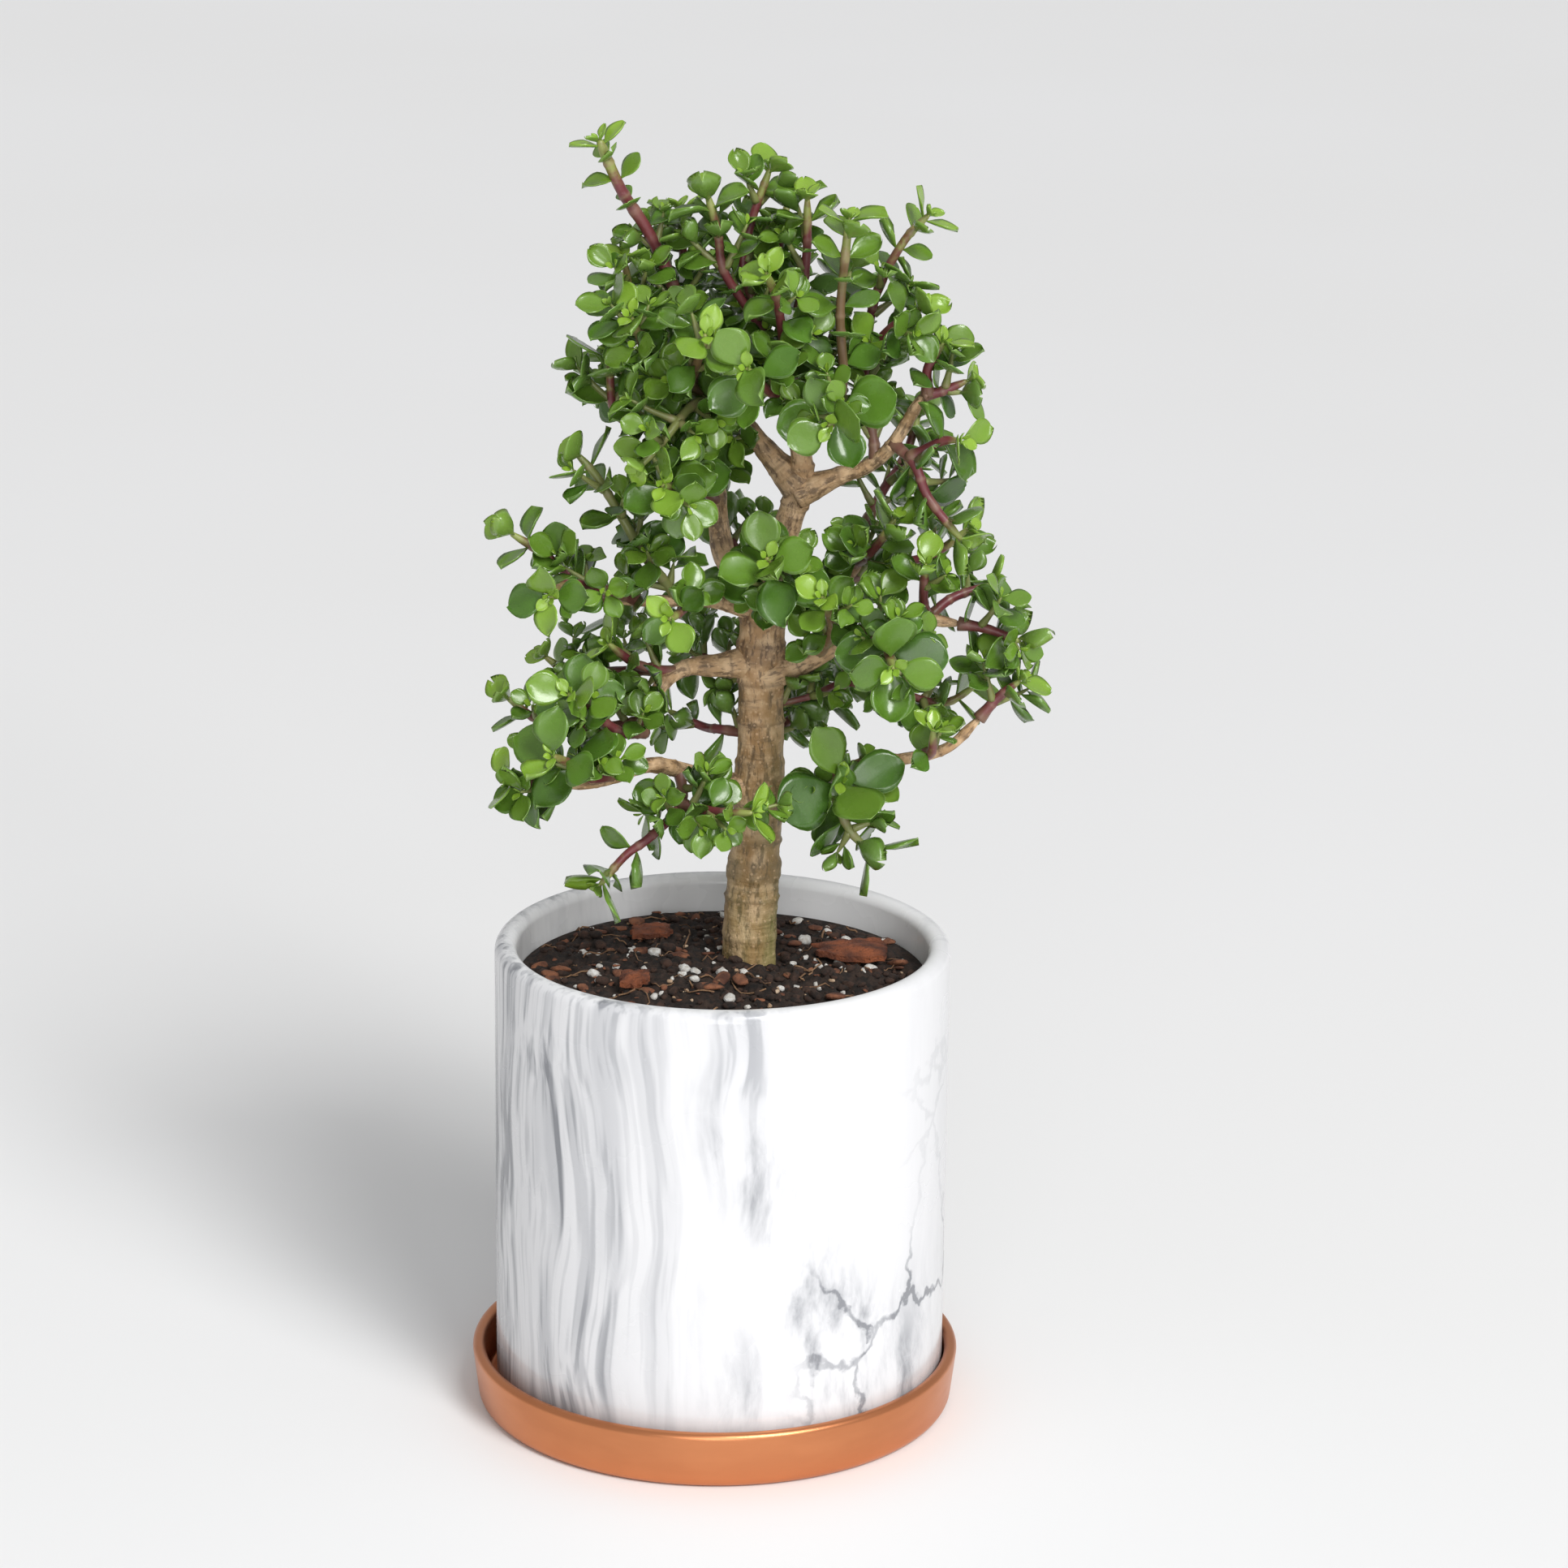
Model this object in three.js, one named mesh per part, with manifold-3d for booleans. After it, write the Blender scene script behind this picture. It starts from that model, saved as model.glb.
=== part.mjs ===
// A dwarf jade plant in a round ceramic pot that stands on a copper saucer.
// Units are millimetres and +Z is up. The origin is on the pot's axis, at the underside of the saucer.
import * as THREE from "three";
import { ConvexGeometry } from "three/addons/geometries/ConvexGeometry.js";
import { mergeVertices } from "three/addons/utils/BufferGeometryUtils.js";
import Module from "manifold-3d";

const wasm = await Module();
wasm.setup();

// Driving dimensions.
const CLEARANCE = 0.3; // between pieces that touch

const POT_RADIUS = 64;
const POT_HEIGHT = 133;
const POT_WALL = 6.2;
const POT_FLOOR = 7;
const POT_FOOT_ROUND = 4;
const POT_INNER_ROUND = 8;
const DRAIN_HOLE_RADIUS = 7;

const SAUCER_GAP = 2; // all round the pot, when the pot stands in the middle
const SAUCER_SHIFT = -1.3; // the pot stands a little off the middle
const SAUCER_WALL = 3.5;
const SAUCER_HEIGHT = 16.8;
const SAUCER_FLOOR = 4;
const SAUCER_DRAFT = 1.5; // how much narrower the base is than the lip
const SAUCER_FOOT_ROUND = 3;

const SOIL_DROP = 11; // from the rim down to the soil at the wall
const SOIL_MOUND = 3; // how much higher the soil is at the trunk

const PLANT_HEIGHT = 240; // from the soil at the wall to the highest tip
const STEM_SCALE = 1; // thickness of every shoot
const WOOD_SCALE = 1; // thickness of the trunk and the boughs
const LEAF_SCALE = 1; // length and width of every leaf
const INTERNODE = 7.6; // from one pair of leaves to the next
const TIP_SHARE = 0.9; // how long the last leaves are, as a share of full ones
const LEAF_THICKNESS = 1.9;
const LEAF_GAP = 0.5; // between a leaf and anything of another shoot
const BUD_LENGTH = 6.5; // leaves shorter than this are buds, too small to be solids

const CHIP_THICKNESS = 3.2;
const ROUND_STEPS = 48; // facets round the pot and the saucer
const SLIVER = 0.02; // facets narrower than this are merged into their neighbours

// The plant's routes are drawn for a plant of this height, from the soil at the wall.
const DRAWN_HEIGHT = 240;

const SAUCER_INSIDE = POT_RADIUS + SAUCER_GAP;
const SAUCER_RADIUS = SAUCER_INSIDE + SAUCER_WALL;
const POT_BASE = SAUCER_FLOOR + CLEARANCE;
const POT_INSIDE = POT_RADIUS - POT_WALL;
const SOIL_TOP = POT_BASE + POT_HEIGHT - SOIL_DROP;
const SOIL_RADIUS = POT_INSIDE - CLEARANCE;

const FINISHES = {
  copper: { color: 0xb9673f, roughness: 0.35, metalness: 0.9 },
  glaze: { color: 0xeeeeef, roughness: 0.25, metalness: 0 },
  soil: { color: 0x2f221b, roughness: 0.95, metalness: 0 },
  chip: { color: 0x8a4b2c, roughness: 0.9, metalness: 0 },
  bark: { color: 0x8c735f, roughness: 0.8, metalness: 0 },
  leaf: { color: 0x4a8a32, roughness: 0.35, metalness: 0 },
};

const plant = new THREE.Group();

// ---------------------------------------------------------------- helpers

function addMesh(name, geometry, finish) {
  const mesh = new THREE.Mesh(geometry, new THREE.MeshStandardMaterial(FINISHES[finish]));
  mesh.name = name;
  plant.add(mesh);
  return mesh;
}

// A closed three.js geometry as a solid that can be joined and cut.
function solidOf(geometry) {
  const bare = geometry.clone();
  bare.deleteAttribute("normal");
  bare.deleteAttribute("uv");
  const merged = mergeVertices(bare, 1e-4);
  return new wasm.Manifold(
    new wasm.Mesh({
      numProp: 3,
      vertProperties: new Float32Array(merged.attributes.position.array),
      triVerts: new Uint32Array(merged.index.array),
    }),
  );
}

function geometryOf(solid) {
  const mesh = solid.getMesh();
  const geometry = new THREE.BufferGeometry();
  geometry.setAttribute("position", new THREE.BufferAttribute(mesh.vertProperties, 3));
  geometry.setIndex(new THREE.BufferAttribute(mesh.triVerts, 1));
  return geometry;
}

// The points of a quarter arc round a centre in a profile, from one angle to another in degrees.
function arc(centreX, centreZ, radius, fromDegrees, toDegrees, steps) {
  return Array.from({ length: steps + 1 }, (_, i) => {
    const angle = THREE.MathUtils.degToRad(fromDegrees + ((toDegrees - fromDegrees) * i) / steps);
    return new THREE.Vector2(centreX + radius * Math.cos(angle), centreZ + radius * Math.sin(angle));
  });
}

// A profile of radius and height, turned round the Z axis.
function turned(profile) {
  const geometry = new THREE.LatheGeometry(profile, ROUND_STEPS);
  geometry.rotateX(Math.PI / 2);
  return geometry;
}

// Numbers from 0 to 1 in a fixed order, the same on every run.
function makeDice(seed) {
  let state = seed;
  return () => {
    state = (state * 1664525 + 1013904223) % 4294967296;
    return state / 4294967296;
  };
}

// ---------------------------------------------------------------- pot, saucer and soil

function makeSaucer() {
  const lip = SAUCER_WALL / 2;
  const baseRadius = SAUCER_RADIUS - SAUCER_DRAFT;
  const profile = [
    new THREE.Vector2(0, 0),
    ...arc(baseRadius - SAUCER_FOOT_ROUND, SAUCER_FOOT_ROUND, SAUCER_FOOT_ROUND, -90, 0, 3),
    ...arc(SAUCER_RADIUS - lip, SAUCER_HEIGHT - lip, lip, 0, 180, 4),
    ...arc(SAUCER_INSIDE - SAUCER_DRAFT, SAUCER_FLOOR + SAUCER_DRAFT, SAUCER_DRAFT, 0, -90, 2),
    new THREE.Vector2(0, SAUCER_FLOOR),
  ];
  addMesh("saucer", turned(profile), "copper").position.x = SAUCER_SHIFT;
}

function makePot() {
  const lip = POT_WALL / 2;
  const profile = [
    new THREE.Vector2(DRAIN_HOLE_RADIUS, 0),
    ...arc(POT_RADIUS - POT_FOOT_ROUND, POT_FOOT_ROUND, POT_FOOT_ROUND, -90, 0, 3),
    ...arc(POT_RADIUS - lip, POT_HEIGHT - lip, lip, 0, 180, 6),
    ...arc(POT_INSIDE - POT_INNER_ROUND, POT_FLOOR + POT_INNER_ROUND, POT_INNER_ROUND, 0, -90, 3),
    new THREE.Vector2(DRAIN_HOLE_RADIUS, POT_FLOOR),
    new THREE.Vector2(DRAIN_HOLE_RADIUS, 0),
  ];
  addMesh("pot", turned(profile), "glaze").position.z = POT_BASE;
}

// Height of the soil above its edge, at a distance from the pot's axis.
function soilRise(radius) {
  return SOIL_MOUND * Math.cos((Math.PI / 2) * Math.min(radius / SOIL_RADIUS, 1));
}

function makeSoil(trunkHole) {
  const bottom = POT_BASE + POT_FLOOR + CLEARANCE;
  const round = POT_INNER_ROUND;
  const rings = 4;
  const surface = Array.from({ length: rings + 1 }, (_, i) => {
    const radius = SOIL_RADIUS * (1 - i / rings);
    return new THREE.Vector2(radius, SOIL_TOP + soilRise(radius));
  });
  const profile = [
    new THREE.Vector2(0, bottom),
    ...arc(SOIL_RADIUS - round, bottom + round, round, -90, 0, 3),
    ...surface,
  ];
  const soil = solidOf(turned(profile)).subtract(trunkHole);
  addMesh("potting_mix", geometryOf(soil), "soil");
}

// Flakes of bark on the soil: where each lies, as a share of the soil's radius and a bearing,
// then its length, width and how it is turned.
const CHIPS = [
  { name: "bark_chip_large", out: 0.66, bearing: 18, length: 22, width: 14, turn: 15 },
  { name: "bark_chip_left", out: 0.5, bearing: 212, length: 11, width: 7, turn: 70 },
  { name: "bark_chip_front", out: 0.82, bearing: 236, length: 12, width: 6, turn: 150 },
  { name: "bark_chip_back", out: 0.6, bearing: 128, length: 14, width: 7, turn: 35 },
];

function makeChip({ name, out, bearing, length, width, turn }) {
  const corners = [
    [-0.5, -0.3],
    [-0.1, -0.5],
    [0.4, -0.4],
    [0.5, 0.1],
    [0.2, 0.5],
    [-0.3, 0.4],
  ];
  const outline = new THREE.Shape(corners.map(([x, y]) => new THREE.Vector2(x * length, y * width)));
  const geometry = new THREE.ExtrudeGeometry(outline, { depth: CHIP_THICKNESS, bevelEnabled: false });
  const angle = THREE.MathUtils.degToRad(bearing);
  const radius = out * SOIL_RADIUS;
  const lowEdge = radius + length / 2;
  const slope = (soilRise(radius - length / 2) - soilRise(lowEdge)) / length;
  const mesh = addMesh(name, geometry, "chip");
  const tilt = new THREE.Quaternion().setFromAxisAngle(
    new THREE.Vector3(-Math.sin(angle), Math.cos(angle), 0),
    Math.atan(slope),
  );
  const spin = new THREE.Quaternion().setFromAxisAngle(
    new THREE.Vector3(0, 0, 1),
    THREE.MathUtils.degToRad(turn),
  );
  mesh.quaternion.copy(tilt.multiply(spin));
  const rest = SOIL_TOP + soilRise(radius) + 2 * CLEARANCE;
  mesh.position.set(radius * Math.cos(angle), radius * Math.sin(angle), rest);
}

// ---------------------------------------------------------------- the plant's limbs
// Each limb has a name and the limb and place along it (0 to 1) that it grows from. Its route
// goes on from there, in millimetres from the pot's axis and the soil at the wall. Radii are
// spread evenly along it. A shoot also has its leaves: pairs of them from `bare` to the tip, the
// length of a full leaf, and the roll of the lowest pair. Shoots with the same `node` are one piece.

const WOOD = [
  { name: "trunk", radii: [7.8, 7.6, 6.8, 6.6, 5.9, 5.7, 3.4, 2.6, 2],
    route: [[7, 8, -14], [8, 8, 20], [10, 8, 58], [10, 8, 95], [14, 8, 119], [20, 8, 139], [20, 5, 152],
      [18, 4, 166], [14, 2, 179]] },
  { name: "bough_west_arch", on: "trunk", at: 0.53, radii: [3, 2.6, 2, 1.6],
    route: [[-2, 5, 89], [-11, 2, 89], [-18, -4, 85], [-22, -10, 74]] },
  { name: "bough_west_low", on: "trunk", at: 0.34, radii: [2.6, 2.4, 2, 1.4],
    route: [[-3, 2, 56], [-11, -4, 61], [-21, -12, 65], [-33, -20, 63], [-43, -26, 63]] },
  { name: "bough_west_high", on: "trunk", at: 0.65, radii: [3.2, 3.2, 2.8, 2.2],
    route: [[1, 18, 115], [-2, 23, 124], [-3, 24, 136], [-4, 22, 146]] },
  { name: "bough_west_middle", on: "trunk", at: 0.6, radii: [2, 1.7, 1.5],
    route: [[-5, 3, 108], [-21, -2, 109], [-33, -2, 110]] },
  { name: "bough_crown_west", on: "trunk", at: 0.79, radii: [2.8, 2.3, 1.8],
    route: [[11, 9, 149], [5, 8, 157], [-1, 8, 163], [-8, 6, 170]] },
  { name: "bough_crown_east", on: "trunk", at: 0.78, radii: [2.6, 2.1, 1.9, 1.5],
    route: [[31, 6, 143], [38, 4, 146], [45, 0, 153], [53, -4, 168]] },
  { name: "bough_east_upper", on: "trunk", at: 0.59, radii: [2.2, 1.9, 1.6],
    route: [[24, 18, 104], [35, 25, 111], [39, 28, 124]] },
  { name: "bough_east_main", on: "trunk", at: 0.51, radii: [3.2, 2.6, 2, 1.5],
    route: [[22, 6, 90], [32, 1, 97], [41, -3, 102], [53, -4, 105], [64, -4, 104]] },
  { name: "bough_east_low", on: "trunk", at: 0.32, radii: [2.2, 2, 1.7, 1.3],
    route: [[28, 2, 56], [37, -4, 63], [48, -8, 66], [61, -10, 70], [70, -8, 78]] },
];

const SHOOTS = [
  // The front of the plant.
  { node: "shoot_front_centre", on: "trunk", at: 0.61, leaf: 15, bare: 0.55, roll: 10,
    route: [[13, -6, 112], [12, -18, 120], [11, -28, 128]] },
  { node: "shoot_front_east", on: "bough_east_main", at: 0.5, leaf: 15, bare: 0.7, roll: 0,
    route: [[43, -18, 103], [44, -30, 102], [45, -40, 101]] },
  { node: "shoot_front_east_small", on: "bough_east_main", at: 0.3, leaf: 10, bare: 0.4, roll: 30,
    route: [[29, -12, 104], [28, -22, 111], [26, -30, 118]] },
  { node: "shoot_west_clover", on: "bough_west_middle", at: 0.8, leaf: 12, bare: 0.96, roll: 8,
    route: [[-36, -14, 116], [-43, -23, 119], [-47, -33, 118]] },
  { node: "shoot_front_west", on: "bough_west_middle", at: 0.5, leaf: 11, bare: 0.75, roll: 40,
    route: [[-12, -24, 112], [-15, -36, 113]] },
  { node: "shoot_west_front_upper", on: "bough_west_arch", at: 1, leaf: 13, bare: 0.45, roll: 50,
    route: [[-28, -18, 76], [-36, -26, 84], [-42, -36, 92]] },
  { node: "shoot_west_front_lower", on: "bough_west_low", at: 0.72, leaf: 14, bare: 0.6, roll: 20,
    route: [[-36, -28, 66], [-40, -34, 71], [-46, -44, 77]] },
  { node: "shoot_low_west", name: "low_west", on: "bough_west_low", at: 0.42, leaf: 12,
    bare: 0.25, roll: 30, route: [[-12, -13, 54], [-20, -20, 47], [-27, -22, 42], [-34, -24, 34]] },
  { node: "shoot_low_west", on: "low_west", at: 0.25, leaf: 10, bare: 0.2, roll: 60,
    route: [[-5, -24, 56], [2, -30, 57], [8, -33, 58]] },
  { node: "shoot_low_east", on: "bough_east_low", at: 0.3, leaf: 14, bare: 0.1, roll: 0,
    route: [[31, -12, 55], [35, -14, 47], [41, -14, 41]] },
  // The crown, front and sides.
  { node: "shoot_crown_round_leaves", on: "trunk", at: 0.91, leaf: 14, bare: 0.8, roll: 40,
    route: [[12, -14, 170], [5, -34, 181]] },
  { node: "shoot_crown_leader", name: "leader", on: "trunk", at: 0.87, leaf: 11, bare: 0.2,
    roll: 20, route: [[28, -5, 160], [31, -10, 173], [30, -12, 191], [31, -14, 207], [32, -14, 218]] },
  { node: "shoot_crown_leader", on: "leader", at: 0.22, leaf: 15, bare: 0.6, roll: 20,
    route: [[30, -22, 167], [27, -34, 166]] },
  { node: "shoot_top_west", name: "top_west", on: "bough_crown_west", at: 0.95, leaf: 9,
    bare: 0.35, roll: 10, radii: [1.9, 1.7, 1.5],
    route: [[-13, 6, 190], [-21, 4, 209], [-29, 2, 222], [-35, 0, 236]] },
  { node: "shoot_top_west", on: "top_west", at: 0.25, leaf: 10, bare: 0.3, roll: 50,
    route: [[-20, 4, 186], [-26, 2, 192], [-28, 0, 203]] },
  { node: "shoot_crown_rosette", name: "rosette", on: "bough_crown_west", at: 0.8, leaf: 13,
    bare: 0.55, roll: 0, route: [[-14, -6, 172], [-21, -10, 179], [-26, -20, 192]] },
  { node: "shoot_crown_rosette", on: "rosette", at: 0.3, leaf: 11, bare: 0.5, roll: 45,
    route: [[-8, -20, 180], [-6, -34, 190]] },
  { node: "shoot_crown_curled", on: "bough_crown_west", at: 0.6, leaf: 13, bare: 0.4, roll: 0,
    route: [[-18, 2, 158], [-30, -4, 162], [-32, -8, 180]] },
  { node: "shoot_crown_drooping", on: "bough_crown_west", at: 0.4, leaf: 10, bare: 0.4, roll: 30,
    route: [[-5, -6, 165], [-10, -14, 166], [-16, -22, 160], [-23, -28, 153]] },
  { node: "shoot_top_middle", name: "top_middle", on: "trunk", at: 0.93, leaf: 12, bare: 0.4,
    roll: 5, route: [[8, 2, 186], [-1, 0, 200], [-3, 0, 211], [-6, 0, 222]] },
  { node: "shoot_top_middle", on: "top_middle", at: 0.25, leaf: 11, bare: 0.5, roll: 20,
    route: [[4, 8, 200], [6, 10, 212], [11, 10, 227]] },
  { node: "shoot_top_east", name: "top_east", on: "trunk", at: 1, leaf: 10, bare: 0.45, roll: 0,
    route: [[19, 2, 190], [21, 1, 205], [21, 0, 221]] },
  { node: "shoot_top_east", on: "top_east", at: 0.1, leaf: 9, bare: 0.4, roll: 40,
    route: [[14, 14, 190], [14, 20, 200], [16, 25, 216]] },
  { node: "shoot_crown_young", on: "trunk", at: 0.95, leaf: 10, bare: 0.4, roll: 35,
    route: [[15, -10, 183], [13, -18, 196], [10, -25, 205]] },
  { node: "shoot_top_far_east", name: "top_far_east", on: "bough_crown_east", at: 0.5, leaf: 10,
    bare: 0.35, roll: 10, route: [[38, 7, 175], [40, 6, 193], [47, 4, 208], [54, 4, 216]] },
  { node: "shoot_top_far_east", on: "top_far_east", at: 0.4, leaf: 11, bare: 0.4, roll: 60,
    route: [[44, -3, 186], [52, -6, 192]] },
  { node: "shoot_crown_east_tip", name: "east_tip", on: "bough_crown_east", at: 1, leaf: 9,
    bare: 0.35, roll: 20, route: [[58, -4, 169], [65, -4, 172]] },
  { node: "shoot_crown_east_tip", on: "east_tip", at: 0.1, leaf: 9, bare: 0.4, roll: 70,
    route: [[54, -7, 176], [58, -8, 183]] },
  { node: "shoot_crown_east_hanging", name: "east_hanging", on: "bough_crown_east", at: 0.66,
    leaf: 13, bare: 0.25, roll: 40, route: [[51, -6, 149], [55, -8, 140], [64, -10, 129]] },
  { node: "shoot_crown_east_hanging", on: "east_hanging", at: 0.2, leaf: 12, bare: 0.6, roll: 10,
    route: [[58, -8, 156], [63, -11, 157]] },
  { node: "shoot_inner_glossy", on: "bough_west_high", at: 0.7, leaf: 13, bare: 0.55, roll: 20,
    route: [[-9, 8, 139], [-14, -16, 144], [-17, -29, 148]] },
  { node: "shoot_west_upper", on: "bough_west_middle", at: 0.55, leaf: 12, bare: 0.25, roll: 20,
    route: [[-22, -7, 123], [-29, -8, 135], [-35, -8, 145], [-41, -8, 152]] },
  { node: "shoot_west_far", on: "bough_west_middle", at: 1, leaf: 11, bare: 0.2, roll: 30,
    route: [[-42, -3, 116], [-50, -5, 123], [-59, -6, 129]] },
  { node: "shoot_west_arch_tip", name: "arch_tip", on: "bough_west_arch", at: 0.55, leaf: 10,
    bare: 0.25, roll: 20, route: [[-24, -6, 92], [-32, -10, 99]] },
  { node: "shoot_west_arch_tip", on: "arch_tip", at: 0.3, leaf: 9, bare: 0.4, roll: 50,
    route: [[-33, 0, 88], [-41, 2, 86], [-50, 2, 92]] },
  { node: "shoot_west_low_far", on: "bough_west_arch", at: 0.92, leaf: 11, bare: 0.4, roll: 10,
    route: [[-36, -7, 74], [-50, -8, 76], [-60, -8, 83]] },
  { node: "shoot_west_low_tip", on: "bough_west_low", at: 1, leaf: 11, bare: 0.2, roll: 40,
    route: [[-50, -28, 64], [-58, -30, 66]] },
  { node: "shoot_west_stub", on: "trunk", at: 0.42, leaf: 11, bare: 0.4, roll: 10,
    route: [[-1, 14, 68], [-6, 20, 67], [-16, 22, 71]] },
  { node: "shoot_east_inner", on: "bough_east_upper", at: 0.75, leaf: 12, bare: 0.3, roll: 25,
    route: [[38, 8, 119], [42, -4, 127], [46, -6, 134]] },
  { node: "shoot_east_upper", name: "east_upper", on: "bough_east_main", at: 0.85, leaf: 11,
    bare: 0.2, roll: 20, route: [[62, 0, 110], [73, 4, 113]] },
  { node: "shoot_east_upper", on: "east_upper", at: 0.05, leaf: 11, bare: 0.35, roll: 70,
    route: [[54, -10, 112], [54, -17, 124]] },
  { node: "shoot_east_tip", on: "bough_east_main", at: 1, leaf: 11, bare: 0.15, roll: 30,
    route: [[72, -6, 103], [81, -8, 100]] },
  { node: "shoot_east_low_tip", on: "bough_east_low", at: 1, leaf: 10, bare: 0.1, roll: 20,
    route: [[75, -8, 84], [81, -8, 89]] },
  { node: "shoot_east_sprout", on: "bough_east_low", at: 0.75, leaf: 8, bare: 0.3, roll: 50,
    route: [[57, -15, 71], [57, -19, 78]] },
  { node: "shoot_east_twig", on: "trunk", at: 0.46, leaf: 12, bare: 0.5, roll: 40,
    radii: [0.9, 0.9, 1.1, 1.1, 1],
    route: [[24, 10, 79], [33, 13, 82], [45, 8, 82], [60, 4, 79], [70, 5, 84]] },
  // The back of the plant.
  { node: "shoot_back_crown_west", on: "bough_west_high", at: 1, leaf: 11, bare: 0.3, roll: 0,
    route: [[-8, 23, 170], [-12, 21, 198], [-14, 22, 214]] },
  { node: "shoot_back_west_high", on: "bough_west_high", at: 0.85, leaf: 13, bare: 0.35, roll: 30,
    route: [[-12, 32, 148], [-24, 40, 156], [-32, 44, 168]] },
  { node: "shoot_back_crown_middle", on: "bough_west_high", at: 0.9, leaf: 12, bare: 0.35, roll: 60,
    route: [[0, 34, 160], [4, 40, 178], [4, 42, 194]] },
  { node: "shoot_back_crown_east", on: "trunk", at: 0.9, leaf: 12, bare: 0.3, roll: 20,
    route: [[24, 16, 168], [30, 28, 180], [34, 34, 196]] },
  { node: "shoot_back_middle", on: "trunk", at: 0.6, leaf: 13, bare: 0.35, roll: 45,
    route: [[8, 30, 108], [2, 44, 114], [-4, 56, 122]] },
  { node: "shoot_back_east_high", on: "bough_east_upper", at: 1, leaf: 12, bare: 0.3, roll: 10,
    route: [[44, 36, 132], [50, 42, 140], [54, 46, 152]] },
  { node: "shoot_back_east", on: "bough_east_upper", at: 0.6, leaf: 12, bare: 0.4, roll: 35,
    route: [[44, 34, 110], [58, 34, 114], [68, 32, 122]] },
  { node: "shoot_back_west", on: "trunk", at: 0.5, leaf: 13, bare: 0.4, roll: 15,
    route: [[-6, 24, 86], [-20, 36, 90], [-34, 42, 98]] },
  { node: "shoot_back_east_low", on: "trunk", at: 0.41, leaf: 12, bare: 0.4, roll: 50,
    route: [[22, 26, 70], [34, 40, 74], [46, 48, 82]] },
  // Two large leaves beside the trunk.
  { node: "shoot_low_east", on: "bough_east_low", at: 0.28, leaf: 18, bare: 0.85, roll: 25,
    route: [[31, -9, 59], [32, -15, 62]] },
];

const SHOOT_RADII = [1.5, 1.3, 1.1];
const WOOD_SIDES = 8;
const STEM_SIDES = 5;
const STEPS_PER_STRETCH = 2; // straight steps from one point of a route to the next

// Every limb grown so far, by its name.
const limbs = new Map();

// A limb's route as a smooth curve, and how thick it is along it. A lower plant is drawn
// smaller all round, so that its stems stay as far apart for their thickness.
function growLimb(limb) {
  const scale = PLANT_HEIGHT / DRAWN_HEIGHT;
  const points = limb.route.map(
    ([x, y, z]) => new THREE.Vector3(x * scale, y * scale, SOIL_TOP + z * scale),
  );
  if (limb.on) points.unshift(pointAlong(limbs.get(limb.on), limb.at));
  const curve = new THREE.CatmullRomCurve3(points, false, "catmullrom");
  const thickness = scale * (limb.radii ? WOOD_SCALE : STEM_SCALE);
  const radii = (limb.radii ?? SHOOT_RADII).map((radius) => radius * thickness);
  const joints = curve.getSpacedPoints(STEPS_PER_STRETCH * (points.length - 1));
  const grown = { ...limb, curve, radii, joints };
  limbs.set(limb.name ?? limb, grown);
  return grown;
}

// A place on the straight steps that a limb is made of, from its foot (0) to its tip (1).
function pointAlong(limb, along) {
  const place = along * (limb.joints.length - 1);
  const before = Math.min(Math.floor(place), limb.joints.length - 2);
  return limb.joints[before].clone().lerp(limb.joints[before + 1], place - before);
}

function headingAlong(limb, along) {
  const before = Math.min(Math.floor(along * (limb.joints.length - 1)), limb.joints.length - 2);
  return limb.joints[before + 1].clone().sub(limb.joints[before]).normalize();
}

function radiusAt(limb, along) {
  const place = along * (limb.radii.length - 1);
  const before = Math.min(Math.floor(place), limb.radii.length - 2);
  return THREE.MathUtils.lerp(limb.radii[before], limb.radii[before + 1], place - before);
}

// A round limb along its curve, thinner towards its end. It can be made larger all round.
function limbSolid(limb, sides, grow = 0) {
  const ring = Array.from({ length: sides }, (_, i) => {
    const angle = (2 * Math.PI * i) / sides;
    return new THREE.Vector2(Math.cos(angle), Math.sin(angle));
  });
  const centres = limb.joints;
  const steps = centres.length - 1;
  const geometry = new THREE.ExtrudeGeometry(new THREE.Shape(ring), {
    steps,
    extrudePath: limb.curve,
    bevelEnabled: false,
  });
  const position = geometry.attributes.position;
  const vertex = new THREE.Vector3();
  for (let i = 0; i < position.count; i++) {
    vertex.fromBufferAttribute(position, i);
    const distances = centres.map((centre) => centre.distanceTo(vertex));
    const nearest = distances.indexOf(Math.min(...distances));
    const radius = radiusAt(limb, nearest / steps) + grow;
    const past = nearest === 0 ? -grow : nearest === steps ? grow : 0;
    vertex.sub(centres[nearest]).setLength(radius).add(centres[nearest]);
    vertex.addScaledVector(headingAlong(limb, nearest / steps), past);
    position.setXYZ(i, vertex.x, vertex.y, vertex.z);
  }
  return solidOf(geometry);
}

// ---------------------------------------------------------------- leaves
// A leaf is egg-shaped and narrow at its stem, flat above and swollen below. Its outline is given
// as shares of its length.
const LEAF_OUTLINE = [
  [0, 0],
  [0.42, 0.38],
  [0.84, 0.34],
  [1, 0],
  [0.84, -0.34],
  [0.42, -0.38],
];
const LEAF_CROWN = 0.6; // where along it a leaf is thickest
const LEAF_ROOT = 0.45; // how far out in its stem a leaf starts, as a share of the stem's radius
const LAST_PAIR = 0.97; // where along its shoot the last pair grows
const LEAF_TRIES = {
  turns: [0, 16, -16, 32, -32], // degrees round the stem
  lifts: [0, -16, 12, -30], // degrees away from the stem
  shares: [1, 0.86, 0.72, 0.6], // of its full length
};
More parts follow.
